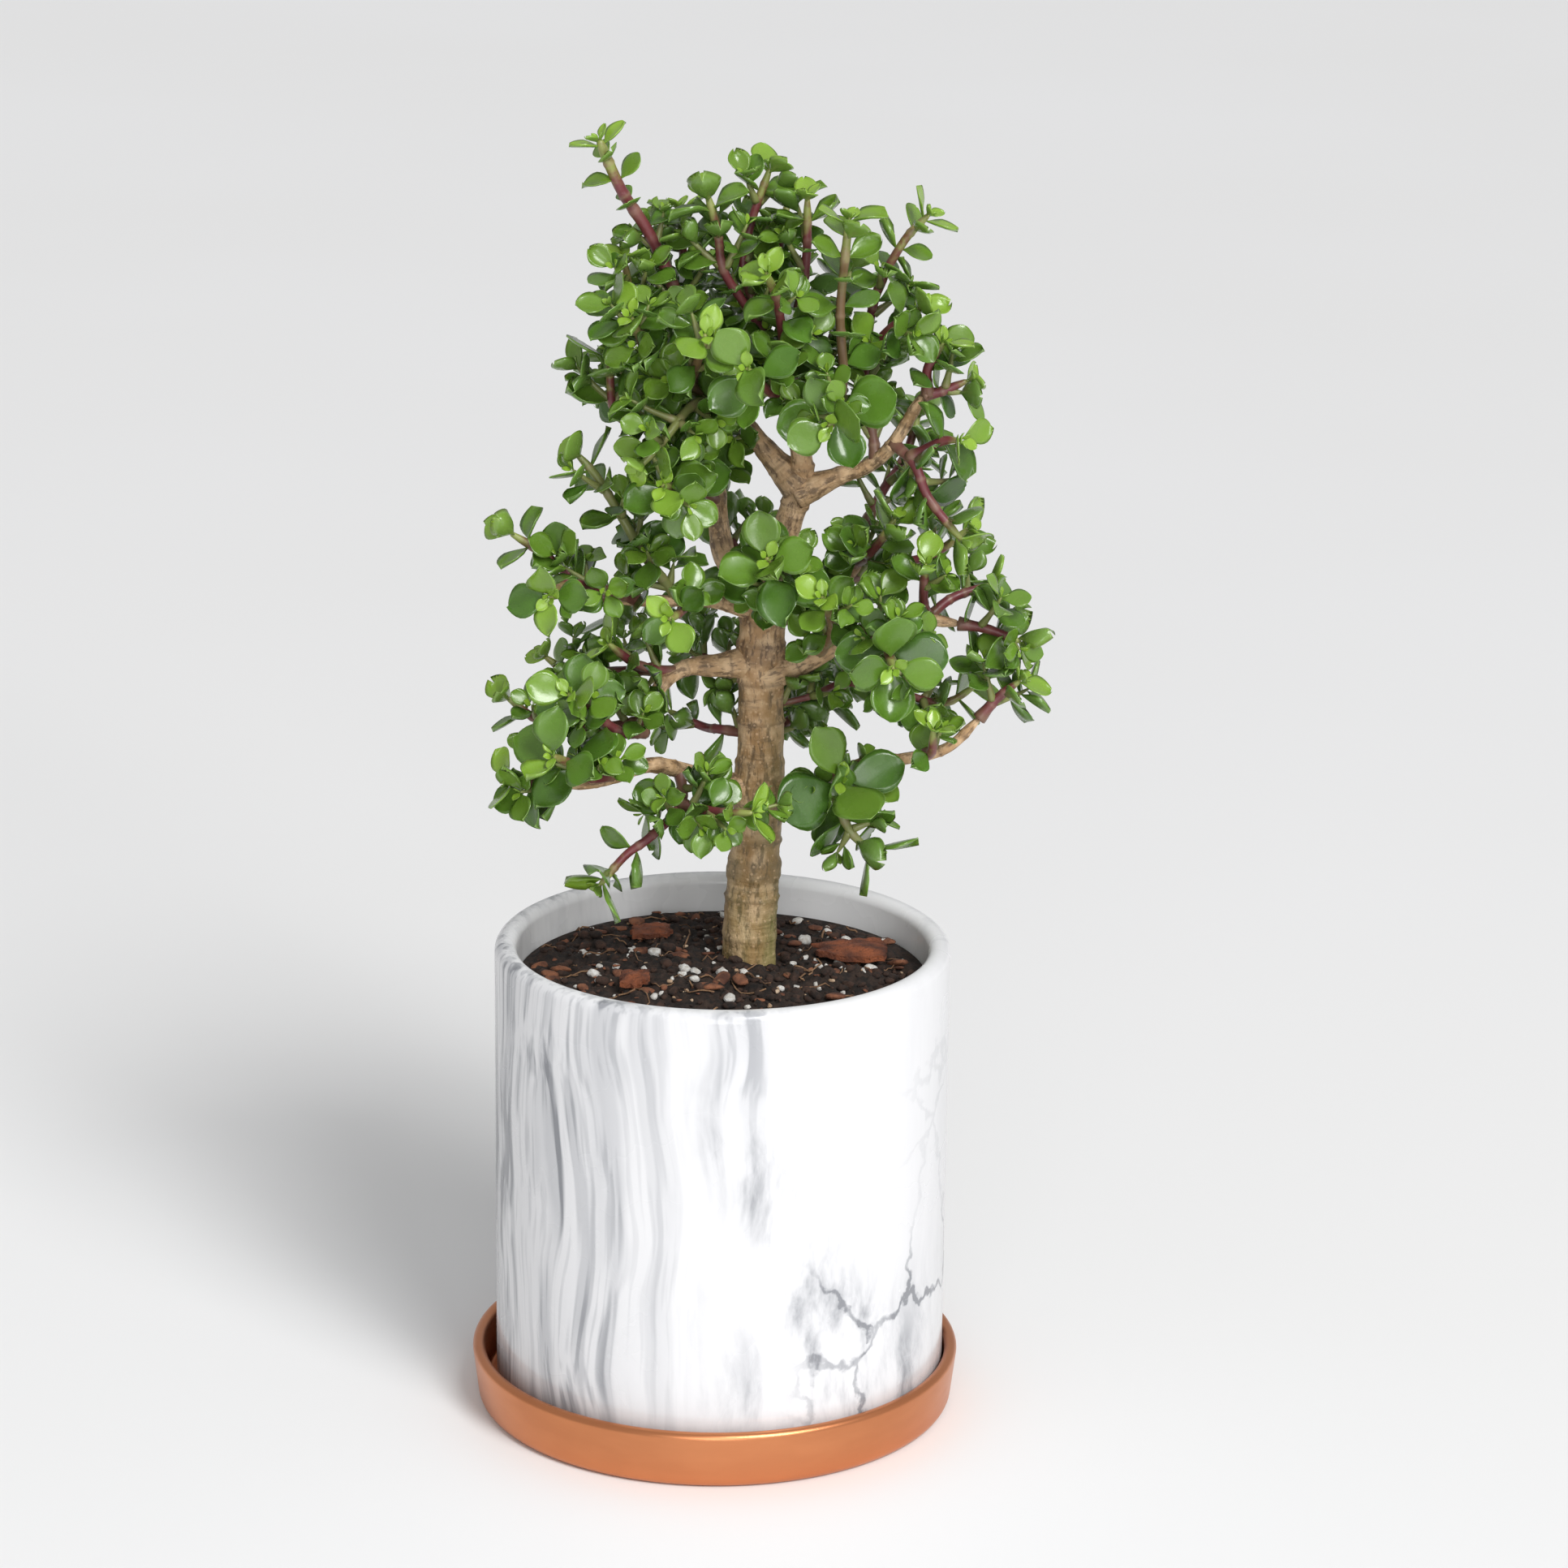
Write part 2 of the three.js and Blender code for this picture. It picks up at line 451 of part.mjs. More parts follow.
// How leaves stand on a shoot. Angles are degrees; varieties are whole ranges.
const HABIT = {
  crowding: 1.35, // above 1, pairs are closer together near the tip
  rollVariety: 16, // of a pair round its stem
  openSpread: 80, // of the lowest leaves from their stem
  closing: 22, // how much less the last leaves spread
  spreadVariety: 14,
  sizeVariety: 0.24,
  leanVariety: 40, // round the leaf's own length
  facingAtFoot: 0.8, // how strongly a leaf turns its face to its open side
  facingAtTip: 0.15,
};
const UP = new THREE.Vector3(0, 0, 1);
const NORTH = new THREE.Vector3(0, 1, 0);
const STEEP = 0.8; // a stem that heads north more than this is measured from UP instead
const CROWN_AXIS = new THREE.Vector3(10, 8, 0);
const CROWN_REACH = 40; // past this distance from the axis a leaf faces fully outwards
const WINDOW = new THREE.Vector3(0.1, -0.6, 0.6); // the way that light falls on the whole plant

// A rounded body for the nearness test: points with a radius, and the directions to try.
function roundedBody(points, radius, axes) {
  const centre = new THREE.Box3().setFromPoints(points).getCenter(new THREE.Vector3());
  const reach = Math.max(...points.map((point) => point.distanceTo(centre))) + radius;
  return { points, radius, axes, centre, reach };
}

// True where some direction shows a gap between two bodies.
function areApart(a, b, gap) {
  const between = b.centre.clone().sub(a.centre);
  if (between.length() > a.reach + b.reach + gap) return true;
  const crossed = a.axes[0].clone().cross(b.axes[0]);
  return [...a.axes, ...b.axes, between, crossed].some((axis) => {
    const length = axis.length();
    if (length < 1e-6) return false;
    const onA = a.points.map((point) => point.dot(axis) / length);
    const onB = b.points.map((point) => point.dot(axis) / length);
    const space = Math.max(
      Math.min(...onB) - Math.max(...onA),
      Math.min(...onA) - Math.max(...onB),
    );
    return space > a.radius + b.radius + gap;
  });
}

function limbBodies(limb) {
  return limb.joints.slice(1).map((end, i) => {
    const start = limb.joints[i];
    const along = end.clone().sub(start).normalize();
    const across = along.clone().cross(UP);
    const radius = radiusAt(limb, i / (limb.joints.length - 1));
    return roundedBody([start, end], radius, [along, across, across.clone().cross(along)]);
  });
}

// The points and directions of one leaf that grows from `base`.
function leafBody(base, direction, normal, length) {
  const across = normal.clone().cross(direction);
  const at = (u, v, w) =>
    base
      .clone()
      .addScaledVector(direction, u * length)
      .addScaledVector(across, v * length)
      .addScaledVector(normal, w);
  const rim = LEAF_OUTLINE.map(([u, v]) => at(u, v, 0));
  const edges = rim.map((point, i) => {
    const next = rim[(i + 1) % rim.length];
    return next.clone().sub(point).cross(normal);
  });
  const body = roundedBody([...rim, at(LEAF_CROWN, 0, -LEAF_THICKNESS)], 0, [normal, ...edges]);
  return { ...body, length };
}

// The way that leaves at a place turn their faces: out of the crown and towards the light.
function openSide(place) {
  const outward = place.clone().sub(CROWN_AXIS).setZ(0).divideScalar(CROWN_REACH).clampLength(0, 1);
  return outward.add(WINDOW);
}

// Where one leaf of a pair could stand, for a turn round the stem, a lift and a share of its length.
function leafAt(place, side, turn, lift, share) {
  const { base, thickness, along, roll, spread, length, lean, facing } = place;
  const radians = THREE.MathUtils.degToRad;
  const reference = Math.abs(along.y) > STEEP ? UP : NORTH;
  const outward = reference.clone().cross(along).normalize();
  outward.applyAxisAngle(along, radians(roll + 180 * side + turn));
  const angle = radians(spread - lift);
  const direction = outward.clone().multiplyScalar(Math.sin(angle)).addScaledVector(along, Math.cos(angle));
  const root = base.clone().addScaledVector(outward, LEAF_ROOT * thickness);
  const normal = along.clone().multiplyScalar(Math.sin(angle)).addScaledVector(outward, -Math.cos(angle));
  normal.applyAxisAngle(direction, radians(lean));
  normal.addScaledVector(openSide(base), facing);
  normal.addScaledVector(direction, -normal.dot(direction)).normalize();
  return leafBody(root, direction, normal, length * share);
}

// All the leaves of a shoot, each turned, lifted or kept smaller where it would meet something else.
function growLeaves(shoot, others, dice) {
  const leaves = [];
  const leafy = shoot.curve.getLength() * (1 - shoot.bare);
  const pairs = Math.max(2, Math.round(leafy / INTERNODE) + 1);
  const full = shoot.leaf * LEAF_SCALE;
  for (let pair = 0; pair < pairs; pair++) {
    const rise = pair / (pairs - 1);
    const along = shoot.bare + (LAST_PAIR - shoot.bare) * (1 - (1 - rise) ** HABIT.crowding);
    for (const side of [0, 1]) {
      const place = {
        base: pointAlong(shoot, along),
        thickness: radiusAt(shoot, along),
        along: headingAlong(shoot, along),
        roll: shoot.roll + 90 * pair + spreadOver(HABIT.rollVariety, dice),
        spread: HABIT.openSpread - HABIT.closing * rise ** 2 + spreadOver(HABIT.spreadVariety, dice),
        length: full * (1 - (1 - TIP_SHARE) * rise ** 3) * (1 + spreadOver(HABIT.sizeVariety, dice)),
        lean: spreadOver(HABIT.leanVariety, dice),
        facing: THREE.MathUtils.lerp(HABIT.facingAtFoot, HABIT.facingAtTip, rise),
      };
      const leaf = firstThatFits(place, side, others);
      if (leaf) leaves.push(leaf);
    }
  }
  return leaves;
}

// A number within a range about nought.
function spreadOver(range, dice) {
  return range * (dice() - 0.5);
}

// The first way for a leaf to stand that keeps it clear of everything else, if there is one.
function firstThatFits(place, side, others) {
  for (const share of LEAF_TRIES.shares) {
    for (const lift of LEAF_TRIES.lifts) {
      for (const turn of LEAF_TRIES.turns) {
        const leaf = leafAt(place, side, turn, lift, share);
        if (others.every((other) => areApart(leaf, other, LEAF_GAP))) return leaf;
      }
    }
  }
  return null;
}

// ---------------------------------------------------------------- the plant

function makeWood() {
  for (const wood of WOOD) {
    const limb = growLimb(wood);
    const solid = limbSolid(limb, WOOD_SIDES);
    if (!limb.on) {
      makeSoil(limbSolid(limb, WOOD_SIDES, CLEARANCE));
      addMesh(limb.name, geometryOf(solid), "bark");
      continue;
    }
    const parent = limbSolid(limbs.get(limb.on), WOOD_SIDES, CLEARANCE);
    addMesh(limb.name, geometryOf(solid.subtract(parent).simplify(SLIVER)), "bark");
  }
}

function makeShoots() {
  const grown = SHOOTS.map(growLimb);
  const dice = makeDice(7);
  const bodies = new Map([...limbs.values()].map((limb) => [limb, limbBodies(limb)]));
  const solids = new Map();
  for (const shoot of grown) {
    const others = [...bodies].filter(([limb]) => (limb.node ?? limb.name) !== shoot.node);
    const leaves = growLeaves(shoot, others.flatMap(([, list]) => list), dice);
    bodies.get(shoot).push(...leaves);
    const whole = leaves
      .filter((leaf) => leaf.length > BUD_LENGTH)
      .reduce(
        (joined, leaf) => joined.add(solidOf(new ConvexGeometry(leaf.points))),
        limbSolid(shoot, STEM_SIDES),
      );
    const before = solids.get(shoot.node);
    solids.set(shoot.node, before ? before.add(whole) : whole);
  }
  for (const [node, solid] of solids) {
    const first = grown.find((shoot) => shoot.node === node);
    const parent = limbSolid(limbs.get(first.on), WOOD_SIDES, CLEARANCE);
    addMesh(node, geometryOf(solid.subtract(parent).simplify(SLIVER)), "leaf");
  }
}

makeSaucer();
makePot();
makeWood();
CHIPS.forEach(makeChip);
makeShoots();

export default plant;
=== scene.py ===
"""The looks of a dwarf jade plant in a marbled round pot on a copper saucer, in metres, +Z up."""

import logging
import math
import random
from dataclasses import dataclass, field
from enum import Enum

import bpy
import numpy as np
from mathutils import Matrix, Vector, noise


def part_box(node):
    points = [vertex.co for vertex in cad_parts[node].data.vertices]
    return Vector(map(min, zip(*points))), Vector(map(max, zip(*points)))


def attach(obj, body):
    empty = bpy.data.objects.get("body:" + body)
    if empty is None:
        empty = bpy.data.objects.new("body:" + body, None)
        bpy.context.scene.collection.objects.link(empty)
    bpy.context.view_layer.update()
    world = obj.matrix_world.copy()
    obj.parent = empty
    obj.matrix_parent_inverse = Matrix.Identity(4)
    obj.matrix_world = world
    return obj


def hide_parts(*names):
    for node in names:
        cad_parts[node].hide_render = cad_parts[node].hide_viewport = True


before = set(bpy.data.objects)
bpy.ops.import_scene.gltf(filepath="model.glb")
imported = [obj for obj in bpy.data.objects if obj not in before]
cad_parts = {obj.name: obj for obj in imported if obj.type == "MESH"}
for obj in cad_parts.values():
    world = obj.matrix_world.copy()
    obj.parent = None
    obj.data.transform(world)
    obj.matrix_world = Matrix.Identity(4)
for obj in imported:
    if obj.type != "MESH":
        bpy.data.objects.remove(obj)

LOG = logging.getLogger("jade")
BODY = "root"
MM = 0.001
Point = tuple[float, float, float]
Colour = tuple[float, float, float, float]
UP = np.array([0.0, 0.0, 1.0])
NORTH = np.array([0.0, 1.0, 0.0])
MIX_FIRST, MIX_SECOND, MIX_RESULT = 6, 7, 2
SAME_PLACE = 1e-6


# ---------------------------------------------------------------- small tools

def deselect() -> None:
    """Leaves object mode with nothing selected."""
    if bpy.context.object and bpy.context.object.mode != "OBJECT":
        bpy.ops.object.mode_set(mode="OBJECT")
    bpy.ops.object.select_all(action="DESELECT")


def activate(obj: bpy.types.Object) -> None:
    """Selects one object and makes it the active one."""
    deselect()
    obj.select_set(True)
    bpy.context.view_layer.objects.active = obj


def vertices_of(obj: bpy.types.Object) -> np.ndarray:
    """The object's vertices as rows of x, y and z."""
    places = np.empty(len(obj.data.vertices) * 3)
    obj.data.vertices.foreach_get("co", places)
    return places.reshape(-1, 3)


def move_vertices(obj: bpy.types.Object, places: np.ndarray) -> None:
    """Gives the object's vertices new places."""
    obj.data.vertices.foreach_set("co", places.ravel())
    obj.data.update()


def select_vertices(obj: bpy.types.Object, chosen: np.ndarray) -> None:
    """Selects only some of the object's vertices, for the next step in edit mode."""
    obj.data.polygons.foreach_set("select", np.zeros(len(obj.data.polygons), bool))
    obj.data.edges.foreach_set("select", np.zeros(len(obj.data.edges), bool))
    obj.data.vertices.foreach_set("select", chosen)


def mark(obj: bpy.types.Object, name: str, values: np.ndarray) -> None:
    """Stores four numbers for each vertex, for a material to read.

    Args:
        obj: the piece.
        name: the attribute's name.
        values: one row of four numbers for each vertex.
    """
    layer = obj.data.attributes.get(name) or obj.data.attributes.new(name, "FLOAT_COLOR", "POINT")
    layer.data.foreach_set("color", values.astype(np.float32).ravel())


def finish_piece(obj: bpy.types.Object, name: str, material: bpy.types.Material, slot: str,
                 *nodes: str) -> None:
    """Names and dresses a piece, and fixes it to the part.

    Args:
        obj: the finished mesh object.
        name: the piece's name.
        material: what it is dressed in.
        slot: the material slot that it belongs to; it is not used.
        nodes: the CAD nodes that it stands for.
    """
    obj.name = name
    obj.data.name = name
    obj.data.materials.clear()
    obj.data.materials.append(material)
    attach(obj, BODY)
    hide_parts(*nodes)
    LOG.info("%s: %d faces", name, len(obj.data.polygons))


def copy_of(pattern: bpy.types.Object, place: Matrix) -> bpy.types.Object:
    """A copy of a shape, with its own mesh, moved to its place.

    Args:
        pattern: the shape that is repeated.
        place: where the copy goes, applied to its mesh.

    Returns:
        The copy, linked to the scene.
    """
    made = pattern.copy()
    made.data = pattern.data.copy()
    made.data.transform(place)
    bpy.context.scene.collection.objects.link(made)
    return made


def joined(parts: list[bpy.types.Object]) -> bpy.types.Object:
    """One object made of several."""
    activate(parts[0])
    for part in parts:
        part.select_set(True)
    if len(parts) > 1:
        bpy.ops.object.join()
    bpy.ops.object.shade_smooth()
    return bpy.context.object


def drop(obj: bpy.types.Object) -> None:
    """Removes a pattern that has served its purpose."""
    bpy.data.objects.remove(obj)


# ---------------------------------------------------------------- finishes

class Sheet:
    """A sheet of shader nodes, with short ways to add and link them."""

    def __init__(self, tree: bpy.types.NodeTree) -> None:
        """Starts on an empty tree."""
        self.tree = tree
        tree.nodes.clear()

    def add(self, kind: str, inputs: dict | None = None, **settings: object) -> bpy.types.Node:
        """Adds a node.

        Args:
            kind: the node's type, without its ShaderNode prefix.
            inputs: values or output sockets for its inputs, by name or number.
            settings: the node's own settings.

        Returns:
            The node.
        """
        node = self.tree.nodes.new("ShaderNode" + kind)
        for name, value in settings.items():
            setattr(node, name, value)
        for key, value in (inputs or {}).items():
            if isinstance(value, bpy.types.NodeSocket):
                self.tree.links.new(value, node.inputs[key])
            else:
                node.inputs[key].default_value = value
        return node

    def maths(self, operation: str, first: object, second: object = 0.0,
              clamp: bool = False) -> bpy.types.NodeSocket:
        """The result of a Math node."""
        node = self.add("Math", {0: first, 1: second}, operation=operation, use_clamp=clamp)
        return node.outputs[0]

    def band(self, value: object, low: float, high: float, from_: float = 0.0,
             to: float = 1.0) -> bpy.types.NodeSocket:
        """A value taken smoothly from one range to another, and kept inside it."""
        node = self.add("MapRange", {0: value, 1: low, 2: high, 3: from_, 4: to},
                        interpolation_type="SMOOTHSTEP")
        return node.outputs[0]

    def mix(self, share: object, first: object, second: object) -> bpy.types.NodeSocket:
        """Two colours mixed by a share."""
        node = self.add("Mix", {0: share, MIX_FIRST: first, MIX_SECOND: second}, data_type="RGBA")
        return node.outputs[MIX_RESULT]

    def scaled_sum(self, value: object, scale: float, extra: object) -> bpy.types.NodeSocket:
        """A value times a number, plus another value."""
        node = self.add("Math", {0: value, 1: scale, 2: extra}, operation="MULTIPLY_ADD")
        return node.outputs[0]

    def stretched(self, place: object, by: Point) -> bpy.types.NodeSocket:
        """A place with each of its coordinates multiplied by a number."""
        return self.add("VectorMath", {0: place, 1: by}, operation="MULTIPLY").outputs[0]

    def group(self, tree: bpy.types.NodeTree, **inputs: float) -> bpy.types.Node:
        """Places a shared group with its own values."""
        node = self.add("Group")
        node.node_tree = tree
        for name, value in inputs.items():
            node.inputs[name].default_value = value
        return node


def new_group(name: str, inputs: dict[str, float]) -> tuple[Sheet, bpy.types.Node, bpy.types.Node]:
    """An empty node group with number inputs and one number output.

    Args:
        name: the group's name.
        inputs: its inputs and what they are at first.

    Returns:
        The group's sheet, its input node and its output node.
    """
    tree = bpy.data.node_groups.new(name, "ShaderNodeTree")
    for key, value in inputs.items():
        socket = tree.interface.new_socket(key, in_out="INPUT", socket_type="NodeSocketFloat")
        socket.default_value = value
    tree.interface.new_socket("Value", in_out="OUTPUT", socket_type="NodeSocketFloat")
    sheet = Sheet(tree)
    given = tree.nodes.new("NodeGroupInput")
    result = tree.nodes.new("NodeGroupOutput")
    return sheet, given, result


class Effects:
    """The effects that several finishes share."""

    def __init__(self) -> None:
        """Builds each group once."""
        self.mottle = self.make_mottle()
        self.grain = self.make_grain()
        self.speckle = self.make_speckle()

    @staticmethod
    def make_mottle() -> bpy.types.NodeTree:
        """Soft uneven patches: 0 to 1, by Scale and Stretch along Z."""
        sheet, given, result = new_group("soft_mottle", {"Scale": 100.0, "Stretch": 1.0})
        place = sheet.add("TexCoord").outputs["Object"]
        shape = sheet.add("CombineXYZ", {0: 1.0, 1: 1.0, 2: given.outputs["Stretch"]})
        stretched = sheet.stretched(place, shape.outputs[0])
        cloud = sheet.add("TexNoise", {"Vector": stretched, "Scale": given.outputs["Scale"],
                                       "Detail": 3.0})
        value = sheet.band(cloud.outputs[0], 0.3, 0.7)
        sheet.tree.links.new(value, result.inputs[0])
        return sheet.tree

    @staticmethod
    def make_grain() -> bpy.types.NodeTree:
        """Fine even grain: a height from 0 to 1, by Scale."""
        sheet, given, result = new_group("fine_grain", {"Scale": 2000.0})
        place = sheet.add("TexCoord").outputs["Object"]
        fine = sheet.add("TexNoise", {"Vector": place, "Scale": given.outputs["Scale"],
                                      "Detail": 4.0, "Roughness": 0.65})
        sheet.tree.links.new(fine.outputs[0], result.inputs[0])
        return sheet.tree

    @staticmethod
    def make_speckle() -> bpy.types.NodeTree:
        """Small separate dots: 1 in a dot, by Scale and by the Size of the dots."""
        sheet, given, result = new_group("small_speckle", {"Scale": 600.0, "Size": 0.2})
        place = sheet.add("TexCoord").outputs["Object"]
        cells = sheet.add("TexVoronoi", {"Vector": place, "Scale": given.outputs["Scale"]})
        inside = sheet.maths("LESS_THAN", cells.outputs["Distance"], given.outputs["Size"])
        sheet.tree.links.new(inside, result.inputs[0])
        return sheet.tree


def start_material(name: str) -> tuple[bpy.types.Material, Sheet]:
    """An empty node material and its sheet."""
    material = bpy.data.materials.new(name)
    material.use_nodes = True
    return material, Sheet(material.node_tree)


def close_material(sheet: Sheet, surface: bpy.types.Node) -> None:
    """Links a shader to the material's output."""
    sheet.add("OutputMaterial", {"Surface": surface.outputs[0]})


@dataclass(frozen=True)
class LeafFinish:
    """Fleshy glossy leaf: green by age, greyer below, with a thin pale rim."""

    dark: Colour = (0.037, 0.094, 0.011, 1)
    middle: Colour = (0.084, 0.188, 0.019, 1)
    young: Colour = (0.245, 0.400, 0.038, 1)
    below: Colour = (0.122, 0.212, 0.050, 1)
    rim: Colour = (0.330, 0.520, 0.140, 1)

    def make(self, effects: Effects) -> bpy.types.Material:
        """Builds the material. The marks are youth, tone, underside and rim."""
        material, sheet = start_material("jade_leaf")
        marks = sheet.add("Attribute", attribute_name="leaf_marks")
        parts = sheet.add("SeparateColor", {0: marks.outputs["Color"]})
        youth, tone, underside = parts.outputs[0], parts.outputs[1], parts.outputs[2]
        patches = sheet.group(effects.mottle, Scale=160.0)
        shade = sheet.scaled_sum(patches.outputs[0], 0.25, tone)
        mature = sheet.mix(shade, self.dark, self.middle)
        green = sheet.mix(youth, mature, self.young)
        backed = sheet.mix(sheet.maths("MULTIPLY", underside, 0.55), green, self.below)
        edge = sheet.band(marks.outputs["Alpha"], 0.80, 1.0, 0.0, 0.42)
        colour = sheet.mix(edge, backed, self.rim)
        dots = sheet.group(effects.speckle, Scale=1500.0, Size=0.16)
        dotted = sheet.mix(sheet.maths("MULTIPLY", dots.outputs[0], 0.10), colour, self.rim)
        rough = sheet.band(patches.outputs[0], 0.0, 1.0, 0.20, 0.33)
        pores = sheet.group(effects.grain, Scale=1400.0)
        bump = sheet.add("Bump", {"Height": pores.outputs[0], "Strength": 0.12, "Distance": 0.0003})
        surface = sheet.add("BsdfPrincipled", {
            "Base Color": dotted, "Roughness": rough, "Normal": bump.outputs[0],
            "Subsurface Weight": 0.10, "Subsurface Scale": 0.0015, "Coat Weight": 0.30,
            "Coat Roughness": 0.12, "IOR": 1.45})
        surface.inputs["Subsurface Radius"].default_value = (0.5, 1.0, 0.2)
        close_material(sheet, surface)
        return material


@dataclass(frozen=True)
class StemFinish:
    """Young stem: brown at its foot, red-purple above, green at its tip."""

    foot: Colour = (0.165, 0.088, 0.055, 1)
    red: Colour = (0.150, 0.030, 0.034, 1)
    tip: Colour = (0.260, 0.300, 0.075, 1)
    olive: Colour = (0.190, 0.225, 0.065, 1)
    scar: Colour = (0.300, 0.200, 0.130, 1)

    def make(self, effects: Effects) -> bpy.types.Material:
        """Builds the material. The marks are height along, ring scar and greenness."""
        material, sheet = start_material("young_stem")
        marks = sheet.add("Attribute", attribute_name="limb_marks")
        parts = sheet.add("SeparateColor", {0: marks.outputs["Color"]})
        along, scar, green = parts.outputs[0], parts.outputs[1], parts.outputs[2]
        patches = sheet.group(effects.mottle, Scale=320.0)
        uneven = sheet.scaled_sum(patches.outputs[0], 0.16, along)
        lower = sheet.mix(sheet.band(uneven, 0.08, 0.42), self.foot, self.red)
        redder = sheet.mix(sheet.band(uneven, 0.82, 1.08), lower, self.tip)
        colour = sheet.mix(green, redder, self.olive)
        scarred = sheet.mix(sheet.maths("MULTIPLY", scar, 0.45), colour, self.scar)
        grain = sheet.group(effects.grain, Scale=900.0)
        bump = sheet.add("Bump", {"Height": grain.outputs[0], "Strength": 0.25, "Distance": 0.0003})
        rough = sheet.band(patches.outputs[0], 0.0, 1.0, 0.36, 0.52)
        surface = sheet.add("BsdfPrincipled", {
            "Base Color": scarred, "Roughness": rough, "Normal": bump.outputs[0],
            "Coat Weight": 0.08, "Coat Roughness": 0.3})
        close_material(sheet, surface)
        return material


@dataclass(frozen=True)
class BarkFinish:
    """Woody bark: tan with darker streaks, ring scars and a little green at its foot."""

    tan: Colour = (0.355, 0.200, 0.085, 1)
    pale: Colour = (0.640, 0.440, 0.260, 1)
    dark: Colour = (0.080, 0.042, 0.022, 1)
    olive: Colour = (0.215, 0.200, 0.065, 1)

    def make(self, effects: Effects) -> bpy.types.Material:
        """Builds the material. The marks are paleness, ring scar and greenness."""
        material, sheet = start_material("jade_bark")
        marks = sheet.add("Attribute", attribute_name="limb_marks")
        parts = sheet.add("SeparateColor", {0: marks.outputs["Color"]})
        paleness, scar, green = parts.outputs[0], parts.outputs[1], parts.outputs[2]
        straight = sheet.add("Attribute", attribute_name="limb_place").outputs["Vector"]
        streak = sheet.add("TexNoise", {"Vector": sheet.stretched(straight, (1.0, 1.0, 0.28)),
                                        "Scale": 620.0, "Detail": 5.0, "Roughness": 0.65})
        wide = sheet.add("TexNoise", {"Vector": straight, "Scale": 210.0, "Detail": 4.0})
        rings = sheet.add("TexNoise", {"Vector": sheet.stretched(straight, (0.22, 0.22, 1.0)),
                                       "Scale": 520.0, "Detail": 3.0})
        base = sheet.mix(sheet.band(wide.outputs[0], 0.36, 0.66), self.tan, self.pale)
        paler = sheet.mix(sheet.maths("MULTIPLY", paleness, 0.55), base, self.pale)
        streaked = sheet.mix(sheet.band(streak.outputs[0], 0.52, 0.38, 0.0, 0.75), paler, self.dark)
        ringed = sheet.mix(sheet.band(rings.outputs[0], 0.58, 0.72, 0.0, 0.50), streaked, self.dark)
        cut = sheet.maths("MULTIPLY", scar, sheet.band(wide.outputs[0], 0.30, 0.60, 0.25, 0.60))
        scarred = sheet.mix(cut, ringed, self.dark)
        patches = sheet.group(effects.mottle, Scale=120.0, Stretch=0.5)
        mossy = sheet.maths("MULTIPLY", green, sheet.scaled_sum(patches.outputs[0], 0.75, 0.5))
        colour = sheet.mix(mossy, scarred, self.olive)
        pits = sheet.group(effects.speckle, Scale=620.0, Size=0.24)
        pitted = sheet.mix(sheet.maths("MULTIPLY", pits.outputs[0], 0.45), colour, self.pale)
        height = sheet.maths("ADD", sheet.maths("MULTIPLY", streak.outputs[0], 0.8),
                             sheet.maths("MULTIPLY", rings.outputs[0], 0.7))
        bump = sheet.add("Bump", {"Height": height, "Strength": 0.85, "Distance": 0.0011})
        rough = sheet.band(streak.outputs[0], 0.3, 0.7, 0.42, 0.72)
        surface = sheet.add("BsdfPrincipled", {"Base Color": pitted, "Roughness": rough,
                                               "Normal": bump.outputs[0]})
        close_material(sheet, surface)
        return material


